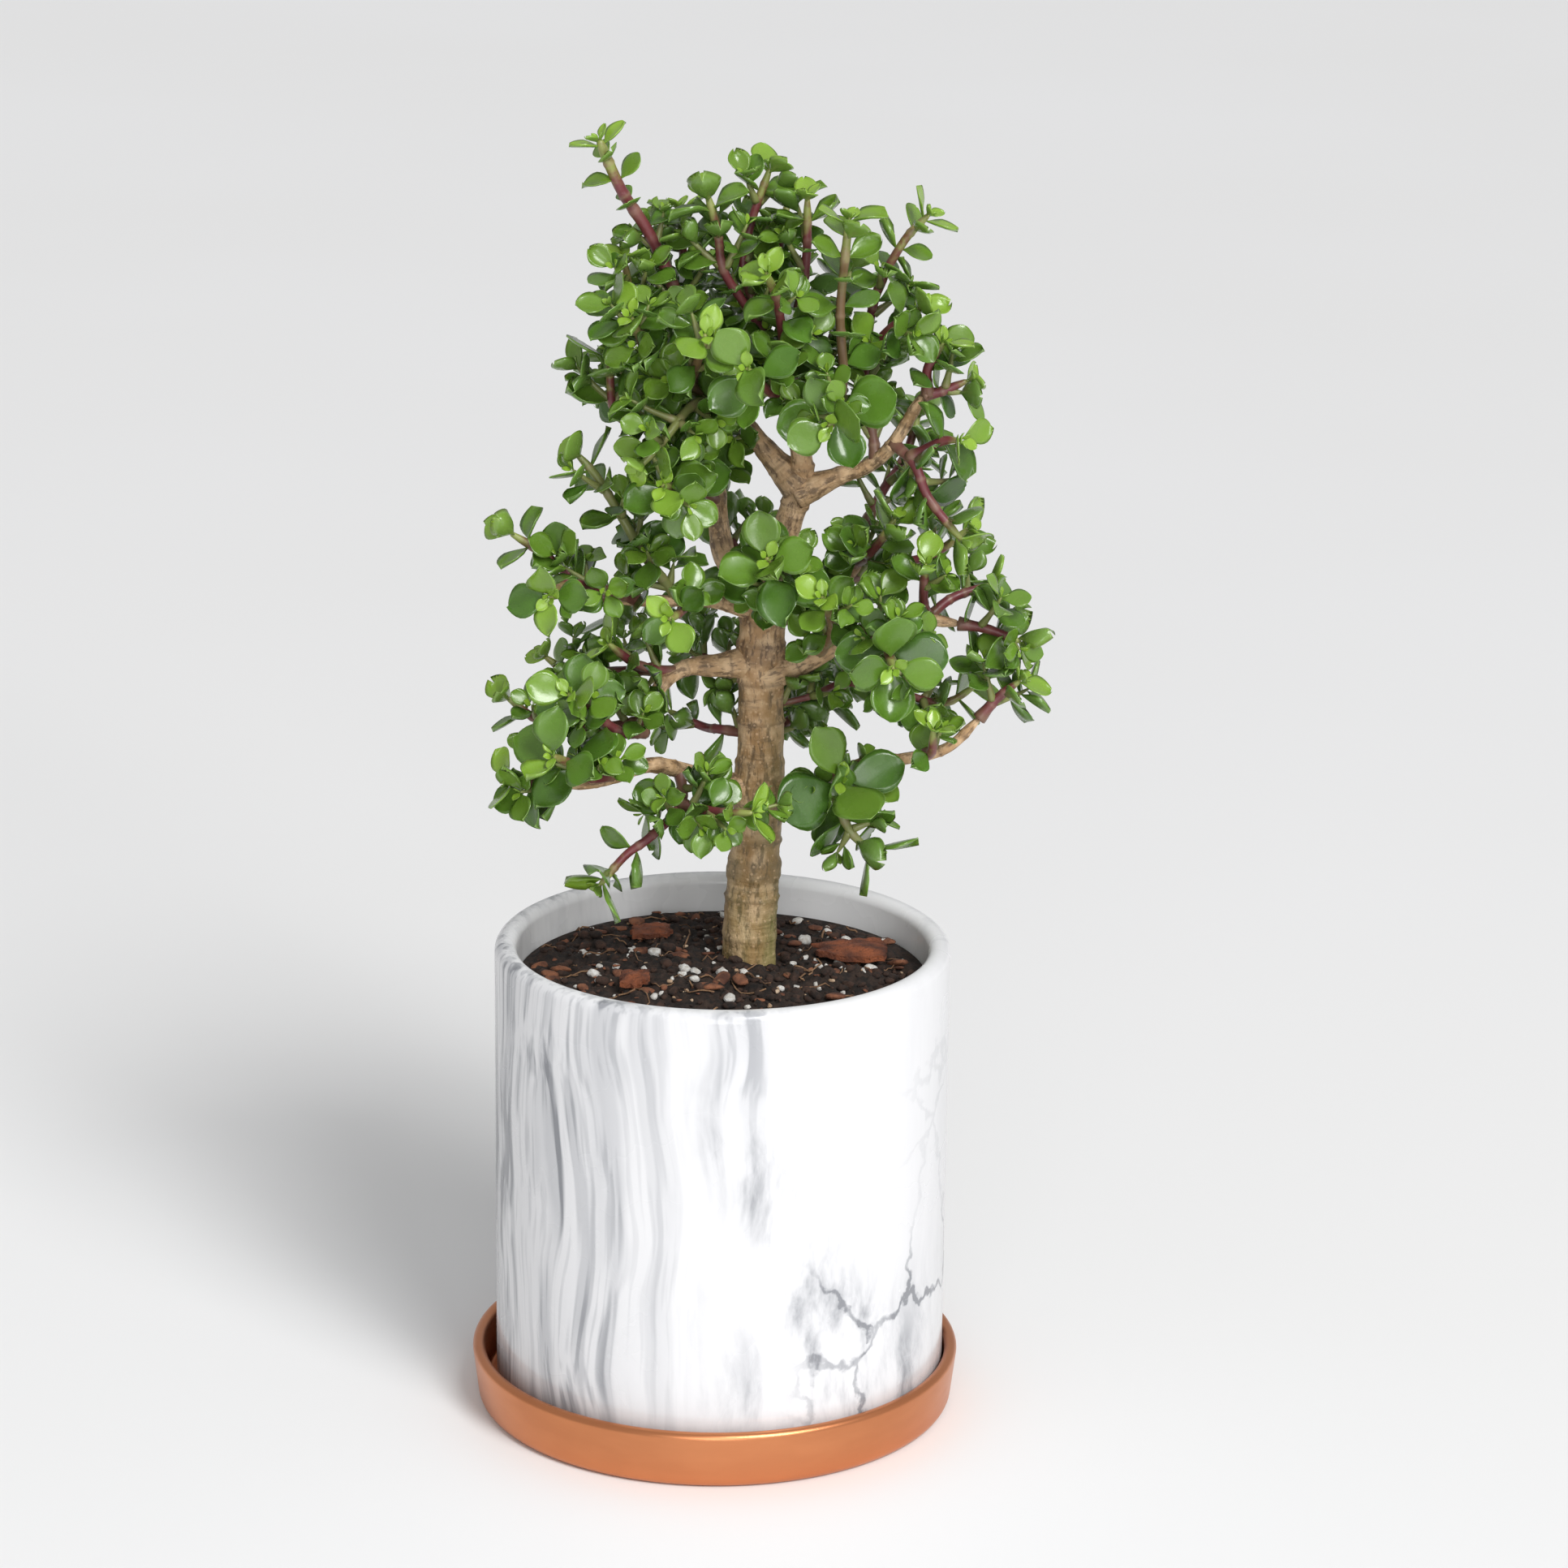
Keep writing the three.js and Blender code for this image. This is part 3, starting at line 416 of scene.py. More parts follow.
@dataclass(frozen=True)
class MarbleGlaze:
    """White glossy glaze over grey marbling: wavy upright lines, a slanting haze and cracks. Inside
    the pot the white is lighter than outside, which is painted light.
    """

    white: Colour = (0.700, 0.700, 0.712, 1)
    # Painted light: the inside of the pot is drawn in a lighter white than the outside, as if more
    # light fell on it.
    inside_painted_light_white: Colour = (0.870, 0.872, 0.880, 1)
    grey: Colour = (0.300, 0.310, 0.335, 1)
    deep: Colour = (0.110, 0.115, 0.130, 1)

    def make(self, effects: Effects) -> bpy.types.Material:
        """Builds the material."""
        material, sheet = start_material("marbled_glaze")
        place = sheet.add("TexCoord").outputs["Object"]
        split = sheet.add("SeparateXYZ", {0: place})
        x, z = split.outputs[0], split.outputs[2]
        swayed = self.sway(sheet, place)
        lines, line_mask = self.upright_lines(sheet, swayed), self.line_mask(sheet, x, z)
        haze, haze_mask = self.slanting_haze(sheet, swayed), self.haze_mask(sheet, x, z)
        cracks, crack_mask = self.cracks(sheet, place), self.crack_mask(sheet, x, z)
        upright = sheet.maths("MULTIPLY", lines, line_mask)
        hazy = sheet.maths("MULTIPLY", haze, haze_mask)
        cracked = sheet.maths("MULTIPLY", cracks, crack_mask)
        amount = sheet.maths("ADD", sheet.maths("ADD", upright, hazy), cracked, True)
        flat = sheet.stretched(place, (1.0, 1.0, 0.0))
        out = sheet.add("VectorMath", {0: flat}, operation="LENGTH").outputs["Value"]
        outside = sheet.band(out, 0.0575, 0.0625, 0.18, 1.0)
        amount = sheet.maths("MULTIPLY", amount, outside)
        # Painted light: inside the pot the ground colour is the lighter white, standing in for light
        # on the inner wall.
        ground = sheet.mix(sheet.band(out, 0.0590, 0.0635), self.inside_painted_light_white, self.white)
        greyed = sheet.mix(sheet.maths("MULTIPLY", amount, 0.85), ground, self.grey)
        strong = sheet.maths("MULTIPLY", sheet.maths("POWER", amount, 3.0), 0.55)
        colour = sheet.mix(strong, greyed, self.deep)
        orange_peel = sheet.group(effects.grain, Scale=260.0)
        bump = sheet.add("Bump", {"Height": orange_peel.outputs[0], "Strength": 0.05,
                                  "Distance": 0.0006})
        smears = sheet.group(effects.mottle, Scale=45.0)
        rough = sheet.band(smears.outputs[0], 0.0, 1.0, 0.20, 0.30)
        surface = sheet.add("BsdfPrincipled", {
            "Base Color": colour, "Roughness": rough, "Normal": bump.outputs[0],
            "Coat Weight": 0.25, "Coat Roughness": 0.10})
        close_material(sheet, surface)
        return material

    @staticmethod
    def sway(sheet: Sheet, place: bpy.types.NodeSocket) -> bpy.types.NodeSocket:
        """The place, pushed sideways a little by large soft waves."""
        wander = sheet.add("TexNoise", {"Vector": place, "Scale": 15.0, "Detail": 1.5})
        drift = sheet.add("VectorMath", {0: wander.outputs[1], 1: (0.5, 0.5, 0.5)},
                          operation="SUBTRACT")
        pushed = sheet.add("VectorMath", {0: drift.outputs[0], "Scale": 0.026}, operation="SCALE")
        return sheet.add("VectorMath", {0: place, 1: pushed.outputs[0]}, operation="ADD").outputs[0]

    @staticmethod
    def upright_lines(sheet: Sheet, place: bpy.types.NodeSocket) -> bpy.types.NodeSocket:
        """Close wavy upright lines of three widths."""
        tall = sheet.stretched(place, (1.0, 1.0, 0.035))
        parts = []
        for scale, low, high, strength in ((110.0, 0.48, 0.60, 0.46), (230.0, 0.50, 0.62, 0.46),
                                           (620.0, 0.48, 0.68, 0.30)):
            cloud = sheet.add("TexNoise", {"Vector": tall, "Scale": scale, "Detail": 1.0})
            parts.append(sheet.band(cloud.outputs[0], low, high, 0.0, strength))
        return sheet.maths("ADD", sheet.maths("ADD", parts[0], parts[1]), parts[2], True)

    @staticmethod
    def line_mask(sheet: Sheet, x: bpy.types.NodeSocket,
                  z: bpy.types.NodeSocket) -> bpy.types.NodeSocket:
        """Where the upright lines are: strong on the left, and a short group at the top."""
        left = sheet.band(x, 0.000, -0.038, 0.05, 1.0)
        middle = sheet.maths("MULTIPLY", sheet.band(x, -0.008, 0.002), sheet.band(x, 0.022, 0.008))
        short = sheet.maths("MULTIPLY", middle, sheet.band(z, 0.070, 0.125, 0.0, 0.70))
        return sheet.maths("ADD", left, short, True)

    @staticmethod
    def slanting_haze(sheet: Sheet, place: bpy.types.NodeSocket) -> bpy.types.NodeSocket:
        """Soft grey clouds, drawn out down to the right."""
        slant = sheet.add("Mapping", {"Vector": place, "Rotation": (0.0, -0.42, 0.0),
                                      "Scale": (1.0, 1.0, 0.30)})
        cloud = sheet.add("TexNoise", {"Vector": slant.outputs[0], "Scale": 75.0, "Detail": 5.0,
                                       "Roughness": 0.62})
        return sheet.band(cloud.outputs[0], 0.40, 0.72)

    @staticmethod
    def haze_mask(sheet: Sheet, x: bpy.types.NodeSocket,
                  z: bpy.types.NodeSocket) -> bpy.types.NodeSocket:
        """Where the haze is: in a slanting band on the right, and faint at the lower middle."""
        across = sheet.scaled_sum(z, 0.42, x)
        starts, ends = sheet.band(across, 0.030, 0.046), sheet.band(across, 0.070, 0.054)
        band = sheet.maths("MULTIPLY", starts, ends)
        lower = sheet.maths("MULTIPLY", sheet.band(z, 0.125, 0.088), band)
        foot, right = sheet.band(z, 0.066, 0.025, 0.0, 0.62), sheet.band(x, -0.022, 0.016)
        corner = sheet.maths("MULTIPLY", foot, right)
        both = sheet.maths("ADD", sheet.maths("MULTIPLY", lower, 0.85), corner, True)
        return sheet.maths("ADD", both, 0.07, True)

    @staticmethod
    def cracks(sheet: Sheet, place: bpy.types.NodeSocket) -> bpy.types.NodeSocket:
        """Thin jagged lines."""
        jagged = sheet.add("TexNoise", {"Vector": place, "Scale": 130.0, "Detail": 4.0})
        drift = sheet.add("VectorMath", {0: jagged.outputs[1], "Scale": 0.012}, operation="SCALE")
        moved = sheet.add("VectorMath", {0: place, 1: drift.outputs[0]}, operation="ADD")
        cells = sheet.add("TexVoronoi", {"Vector": moved.outputs[0], "Scale": 22.0},
                          feature="DISTANCE_TO_EDGE")
        return sheet.band(cells.outputs[0], 0.030, 0.004)

    @staticmethod
    def crack_mask(sheet: Sheet, x: bpy.types.NodeSocket,
                   z: bpy.types.NodeSocket) -> bpy.types.NodeSocket:
        """Where the cracks are: low on the right, and thinly up the right side."""
        low = sheet.maths("MULTIPLY", sheet.band(x, 0.012, 0.034), sheet.band(z, 0.072, 0.045))
        side = sheet.band(x, 0.044, 0.060, 0.0, 0.24)
        return sheet.maths("ADD", sheet.maths("MULTIPLY", low, 0.66), side, True)


@dataclass(frozen=True)
class CopperCoat:
    """Satin copper coat, a little cloudy."""

    copper: Colour = (0.62, 0.240, 0.104, 1)
    dull: Colour = (0.53, 0.195, 0.084, 1)

    def make(self, effects: Effects) -> bpy.types.Material:
        """Builds the material."""
        material, sheet = start_material("copper_coat")
        clouds = sheet.group(effects.mottle, Scale=40.0, Stretch=3.0)
        grain = sheet.group(effects.grain, Scale=1600.0)
        colour = sheet.mix(sheet.maths("MULTIPLY", clouds.outputs[0], 0.5), self.copper, self.dull)
        rough = sheet.band(clouds.outputs[0], 0.0, 1.0, 0.31, 0.36)
        bump = sheet.add("Bump", {"Height": grain.outputs[0], "Strength": 0.10, "Distance": 0.0003})
        surface = sheet.add("BsdfPrincipled", {
            "Base Color": colour, "Roughness": rough, "Normal": bump.outputs[0], "Metallic": 0.92})
        close_material(sheet, surface)
        return material


@dataclass(frozen=True)
class EarthFinish:
    """Something that lies on or in the potting mix, uneven in colour and matte."""

    name: str
    light: Colour
    dark: Colour
    patch_scale: float
    grain_scale: float
    roughness: float = 0.9
    relief: float = 0.6

    def make(self, effects: Effects) -> bpy.types.Material:
        """Builds the material."""
        material, sheet = start_material(self.name)
        patches = sheet.group(effects.mottle, Scale=self.patch_scale)
        grain = sheet.group(effects.grain, Scale=self.grain_scale)
        spots = sheet.group(effects.speckle, Scale=self.grain_scale * 0.5, Size=0.25)
        mixed = sheet.mix(patches.outputs[0], self.dark, self.light)
        colour = sheet.mix(sheet.maths("MULTIPLY", spots.outputs[0], 0.45), mixed, self.dark)
        bump = sheet.add("Bump", {"Height": grain.outputs[0], "Strength": self.relief,
                                  "Distance": 0.001})
        rough = sheet.band(grain.outputs[0], 0.3, 0.7, self.roughness - 0.1, self.roughness)
        surface = sheet.add("BsdfPrincipled", {"Base Color": colour, "Roughness": rough,
                                               "Normal": bump.outputs[0]})
        close_material(sheet, surface)
        return material


# ---------------------------------------------------------------- turned pieces

TURNED_SMOOTH = math.radians(40)
FOOT_STEPS = 6


@dataclass
class Turned:
    """A round piece, drawn up ring by ring from a circle: radius and height of each ring."""

    profile: list[tuple[float, float]]
    centre: tuple[float, float] = (0.0, 0.0)
    steps: int = 128
    closed: bool = False

    def build(self) -> bpy.types.Object:
        """Adds a circle, extrudes it along the profile, and closes it.

        Returns:
            The piece, smooth and closed.
        """
        deselect()
        (radius, height), *rest = self.profile
        bpy.ops.mesh.primitive_circle_add(vertices=self.steps, radius=radius,
                                          location=(*self.centre, height))
        obj = bpy.context.object
        bpy.ops.object.transform_apply(location=True, rotation=True, scale=True)
        bpy.ops.object.mode_set(mode="EDIT")
        bpy.ops.mesh.select_all(action="SELECT")
        for next_radius, next_height in rest:
            bpy.ops.mesh.extrude_edges_move(
                TRANSFORM_OT_translate={"value": (0, 0, next_height - height)})
            share = next_radius / radius
            bpy.ops.transform.resize(value=(share, share, 1),
                                     center_override=(*self.centre, next_height))
            radius, height = next_radius, next_height
        bpy.ops.mesh.select_all(action="SELECT")
        bpy.ops.mesh.remove_doubles(threshold=SAME_PLACE)
        if not self.closed:
            bpy.ops.mesh.select_non_manifold()
            bpy.ops.mesh.edge_face_add()
            bpy.ops.mesh.select_all(action="SELECT")
        bpy.ops.mesh.normals_make_consistent(inside=False)
        bpy.ops.object.mode_set(mode="OBJECT")
        bpy.ops.object.shade_smooth_by_angle(angle=TURNED_SMOOTH)
        return obj


def arc(centre_radius: float, centre_height: float, radius: float, start: float, end: float,
        steps: int) -> list[tuple[float, float]]:
    """The rings of a rounded corner.

    Args:
        centre_radius: how far out the corner's centre is.
        centre_height: how high it is.
        radius: the corner's own radius.
        start: the first angle in degrees, 0 outwards and 90 up.
        end: the last angle.
        steps: how many steps there are between them.

    Returns:
        Radius and height of each ring.
    """
    angles = np.radians(np.linspace(start, end, steps + 1))
    return [(centre_radius + radius * math.cos(a), centre_height + radius * math.sin(a))
            for a in angles]


@dataclass
class Saucer:
    """The dish that the pot stands in."""

    wall: float = 3.5 * MM
    floor: float = 4 * MM
    draft: float = 1.5 * MM
    foot_round: float = 3 * MM

    def build(self, material: bpy.types.Material) -> None:
        """Turns the dish and dresses it."""
        low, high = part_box("saucer")
        radius = (high.x - low.x) / 2
        lip = self.wall / 2
        base = radius - self.draft
        inside = radius - self.wall
        profile = [
            (0.02 * radius, low.z),
            (0.5 * radius, low.z),
            *arc(base - self.foot_round, low.z + self.foot_round, self.foot_round, -90, 0,
                 FOOT_STEPS),
            *arc(radius - lip, high.z - lip, lip, 0, 180, 12),
            *arc(inside - self.draft, self.floor + self.draft, self.draft, 0, -90, 4),
            (0.5 * radius, self.floor),
            (0.02 * radius, self.floor),
        ]
        obj = Turned(profile, centre=((low.x + high.x) / 2, (low.y + high.y) / 2)).build()
        finish_piece(obj, "saucer_dish", material, "copper_coat", "saucer")


@dataclass
class Pot:
    """The round pot with a rounded rim."""

    wall: float = 6.2 * MM
    floor: float = 7 * MM
    foot_round: float = 4 * MM
    inner_round: float = 8 * MM
    drain_radius: float = 7 * MM

    def build(self, material: bpy.types.Material) -> None:
        """Turns the pot and dresses it."""
        low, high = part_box("pot")
        radius = (high.x - low.x) / 2
        lip = self.wall / 2
        inside = radius - self.wall
        body_height = high.z - lip - low.z - self.foot_round
        sides = [(radius, low.z + self.foot_round + body_height * share)
                 for share in (0.25, 0.5, 0.75)]
        profile = [
            (self.drain_radius, low.z),
            *arc(radius - self.foot_round, low.z + self.foot_round, self.foot_round, -90, 0,
                 FOOT_STEPS),
            *sides,
            *arc(radius - lip, high.z - lip, lip, 0, 180, 14),
            *arc(inside - self.inner_round, low.z + self.floor + self.inner_round,
                 self.inner_round, 0, -90, 6),
            (self.drain_radius, low.z + self.floor),
            (self.drain_radius, low.z),
        ]
        obj = Turned(profile, closed=True).build()
        finish_piece(obj, "marbled_pot", material, "marbled_glaze", "pot")


# ---------------------------------------------------------------- potting mix

LUMP_KINDS = 4
LUMP_UNEVEN = 0.55
MOSTLY_SMALL = 2.2
FIBRE_STEPS = 6
CHIP_CUTS = 14
CHIP_FIT = np.array([0.98, 0.98, 0.80])
CHIP_SMOOTH = math.radians(50)


@dataclass
class PottingMix:
    """The soil with its grains, flakes and fibres."""

    drop: float = 11 * MM
    mound: float = 3 * MM
    clump: float = 2.2 * MM
    grit: float = 0.8 * MM
    calm_edge: float = 0.07
    corner: float = 8 * MM
    rings: int = 56
    seed: int = 3
    trunk_place: tuple[float, float] = (7.4 * MM, 8 * MM)
    trunk_radius: float = 8.4 * MM
    edge: float = field(init=False)
    radius: float = field(init=False)
    rng: random.Random = field(init=False)

    def __post_init__(self) -> None:
        """Takes its height and width from the pot and the soil of the part."""
        self.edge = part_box("pot")[1].z - self.drop
        low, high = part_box("potting_mix")
        self.radius = (high.x - low.x) / 2
        self.rng = random.Random(self.seed)

    def height(self, x: float, y: float) -> float:
        """How high the surface is at a place."""
        out = min(math.hypot(x, y) / self.radius, 1.0)
        rise = self.mound * math.cos(math.pi / 2 * out)
        calm = 1.0 - max(0.0, out - (1.0 - self.calm_edge)) / self.calm_edge
        lumps = noise.fractal(Vector((x, y, 0.0)) * 95.0, 1.0, 2.0, 4)
        crumbs = abs(noise.noise(Vector((x, y, 1.0)) * 330.0)) + 0.6 * abs(
            noise.noise(Vector((x, y, 2.0)) * 700.0))
        return self.edge + rise + calm * (self.clump * lumps + self.grit * (2.2 * crumbs - 0.8))

    def build(self, effects: Effects) -> None:
        """Models the bed and everything on it."""
        self.bed(EarthFinish("potting_soil", (0.036, 0.019, 0.012, 1), (0.006, 0.0035, 0.0025, 1),
                             420.0, 1500.0).make(effects))
        dark = EarthFinish("soil_crumb", (0.060, 0.028, 0.017, 1), (0.008, 0.0045, 0.003, 1),
                           300.0, 1800.0)
        self.crumbs("soil_crumbs", dark.make(effects), 820, (0.9, 4.6), 0.55, "potting_mix")
        tan = EarthFinish("tan_bark", (0.270, 0.105, 0.050, 1), (0.070, 0.024, 0.014, 1),
                          250.0, 1500.0)
        self.crumbs("bark_crumbs", tan.make(effects), 170, (1.4, 7.5), 0.30, "potting_mix")
        white = EarthFinish("perlite", (0.90, 0.89, 0.86, 1), (0.62, 0.58, 0.52, 1), 900.0, 2600.0,
                            0.8, 0.8)
        self.crumbs("perlite_grains", white.make(effects), 115, (1.1, 4.4), 0.75, "potting_mix")
        grit = EarthFinish("cream_grit", (0.62, 0.47, 0.33, 1), (0.34, 0.21, 0.12, 1), 500.0, 2000.0)
        self.crumbs("grit_grains", grit.make(effects), 60, (0.7, 1.9), 0.7, "potting_mix")
        straw = EarthFinish("dry_fibre", (0.33, 0.19, 0.10, 1), (0.12, 0.06, 0.03, 1), 300.0, 2000.0)
        self.fibres(straw.make(effects), 70)
        chip = EarthFinish("bark_chip", (0.300, 0.085, 0.030, 1), (0.075, 0.022, 0.011, 1),
                           160.0, 1300.0, 0.85, 1.0)
        chip_material = chip.make(effects)
        for node in ("bark_chip_large", "bark_chip_left", "bark_chip_front", "bark_chip_back"):
            self.chip(node, chip_material)

    def bed(self, material: bpy.types.Material) -> None:
        """The soil itself: turned, then its top is roughened."""
        low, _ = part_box("potting_mix")
        top = [(self.radius * (1 - i / self.rings), self.edge) for i in range(self.rings)]
        profile = [
            (0.02 * self.radius, low.z),
            *arc(self.radius - self.corner, low.z + self.corner, self.corner, -90, 0, 4),
            *top,
            (0.01 * self.radius, self.edge),
        ]
        obj = Turned(profile, steps=200).build()
        places = vertices_of(obj)
        for place in places:
            if place[2] > self.edge - 0.5 * MM:
                place[2] = self.height(place[0], place[1])
        move_vertices(obj, places)
        finish_piece(obj, "soil_bed", material, "potting_mix", "potting_mix")

    def free_place(self) -> tuple[float, float]:
        """A random place on the soil, clear of the trunk and the wall."""
        while True:
            out = self.radius * 0.95 * math.sqrt(self.rng.random())
            angle = math.tau * self.rng.random()
            x, y = out * math.cos(angle), out * math.sin(angle)
            if math.hypot(x - self.trunk_place[0], y - self.trunk_place[1]) > self.trunk_radius:
                return x, y

    def lump(self, flatness: float) -> bpy.types.Object:
        """One irregular lump a unit long, as a pattern.

        Args:
            flatness: its height as a share of its length.

        Returns:
            The pattern.
        """
        deselect()
        bpy.ops.mesh.primitive_ico_sphere_add(subdivisions=2, radius=0.5, location=(0, 0, 0))
        obj = bpy.context.object
        bpy.ops.object.mode_set(mode="EDIT")
        bpy.ops.mesh.select_all(action="SELECT")
        bpy.ops.transform.resize(value=(1.0, 0.55 + 0.3 * self.rng.random(), flatness))
        bpy.ops.object.mode_set(mode="OBJECT")
        places = vertices_of(obj)
        offset = Vector([self.rng.uniform(0, 50) for _ in range(3)])
        for place in places:
            place *= 1.0 + LUMP_UNEVEN * noise.noise(Vector(place) * 2.2 + offset)
        move_vertices(obj, places)
        return obj

    def crumbs(self, name: str, material: bpy.types.Material, count: int,
               sizes: tuple[float, float], flatness: float, node: str) -> None:
        """Scatters copies of four lumps over the soil.

        Args:
            name: the piece's name.
            material: what the lumps are dressed in.
            count: how many there are.
            sizes: their least and greatest length in millimetres.
            flatness: their height as a share of their length.
            node: the CAD node that they belong to.
        """
        patterns = [self.lump(flatness) for _ in range(LUMP_KINDS)]
        parts = []
        for index in range(count):
            x, y = self.free_place()
            size = MM * (sizes[0] + (sizes[1] - sizes[0]) * self.rng.random() ** MOSTLY_SMALL)
            turn = Matrix.Rotation(math.tau * self.rng.random(), 4, "Z")
            tip = Matrix.Rotation(self.rng.uniform(-0.5, 0.5), 4, "X")
            z = self.height(x, y) + size * flatness * self.rng.uniform(0.05, 0.35)
            place = Matrix.Translation((x, y, z)) @ tip @ turn @ Matrix.Scale(size, 4)
            parts.append(copy_of(patterns[index % len(patterns)], place))
        for pattern in patterns:
            drop(pattern)
        finish_piece(joined(parts), name, material, "potting_mix", node)

    def fibres(self, material: bpy.types.Material, count: int) -> None:
        """Thin dry fibres that lie over the soil."""
        parts = []
        for _ in range(count):
            x, y = self.free_place()
            heading = math.tau * self.rng.random()
            length = MM * self.rng.uniform(4, 15)
            bend = self.rng.uniform(-1.2, 1.2)
            stations = []
            for i in range(FIBRE_STEPS + 1):
                px = x + length * (i / FIBRE_STEPS - 0.5) * math.cos(heading)
                py = y + length * (i / FIBRE_STEPS - 0.5) * math.sin(heading)
                if math.hypot(px, py) < self.radius * 0.96:
                    lift = self.rng.uniform(0.3, 0.9) * MM
                    stations.append((px, py, self.height(px, py) + lift))
                heading += bend / FIBRE_STEPS
            if len(stations) > 3:
                thickness = MM * self.rng.uniform(0.12, 0.32)
                parts.append(tube(np.array(stations), np.full(len(stations), thickness), 4))
        finish_piece(joined(parts), "dry_fibres", material, "potting_mix", "potting_mix")

    def chip(self, node: str, material: bpy.types.Material) -> None:
        """A torn flake of bark in the place of one of the part's."""
        low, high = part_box(node)
        size = high - low
        deselect()
        bpy.ops.mesh.primitive_cube_add(size=1, location=(0, 0, 0))
        obj = bpy.context.object
        bpy.ops.object.mode_set(mode="EDIT")
        bpy.ops.mesh.select_all(action="SELECT")
        bpy.ops.mesh.subdivide(number_cuts=CHIP_CUTS)
        bpy.ops.object.mode_set(mode="OBJECT")
        places = vertices_of(obj)
        offset = Vector((low.x, low.y, 0)) * 900
        middle = (low + high) / 2
        for place in places:
            p = Vector(place)
            flat = Vector((p.x, p.y, 0))
            squarish = max(abs(p.x), abs(p.y)) * 2
            round_share = 1 - 0.22 * squarish * (flat.length / (0.5 + 1e-9) - 1)
            ragged = 1
            if flat.length > SAME_PLACE:
                ragged = 1 + 0.35 * noise.noise(flat.normalized() * 3.1 + offset)
            layers = 0.10 * noise.noise(Vector((p.x * 3, p.y * 16, p.z * 2)) + offset)
            dished = 0.35 * noise.noise(flat * 3 + offset)
            thin = 1 - 0.55 * min(flat.length * 2, 1) ** 2
            place[0] = p.x * ragged * round_share
            place[1] = p.y * ragged * round_share
            place[2] = p.z * thin + layers + dished
        places = places * np.array(size) * CHIP_FIT + np.array(middle)
        move_vertices(obj, places)
        bpy.ops.object.shade_smooth_by_angle(angle=CHIP_SMOOTH)
        finish_piece(obj, f"{node}_flake", material, "bark_chip", node)


# ---------------------------------------------------------------- limbs

def tube(centres: np.ndarray, radii: np.ndarray, sides: int) -> bpy.types.Object:
    """A round tube along a line of points, closed at both ends.

    Args:
        centres: the points, one row each, in metres.
        radii: the tube's radius at each point.
        sides: how many sides it has, even and at least four.

    Returns:
        The tube. Its vertices come ring by ring, in the order of the points.
    """
    deselect()
    bpy.ops.curve.primitive_nurbs_path_add(location=(0, 0, 0))
    obj = bpy.context.object
    curve = obj.data
    curve.splines.clear()
    spline = curve.splines.new("POLY")
    spline.points.add(len(centres) - 1)
    spline.points.foreach_set("co", np.column_stack([centres, np.ones(len(centres))]).ravel())
    spline.points.foreach_set("radius", radii)
    curve.bevel_depth = 1.0
    curve.bevel_resolution = sides // 2 - 2
    curve.twist_mode = "MINIMUM"
    bpy.ops.object.convert(target="MESH")
    obj = bpy.context.object
    bpy.ops.object.mode_set(mode="EDIT")
    bpy.ops.mesh.select_all(action="SELECT")
    bpy.ops.mesh.fill_holes(sides=0)
    bpy.ops.mesh.normals_make_consistent(inside=False)
    bpy.ops.object.mode_set(mode="OBJECT")
    bpy.ops.object.shade_smooth()
    return obj


SHOOT_RADII = (1.5, 1.3, 1.1)
STEPS_PER_STRETCH = 2
CURVE_STEPS = 200


class Tint(Enum):
    """How green a shoot's stem is."""

    RED = 0.0
    MIXED = 0.35
    OLIVE = 0.9


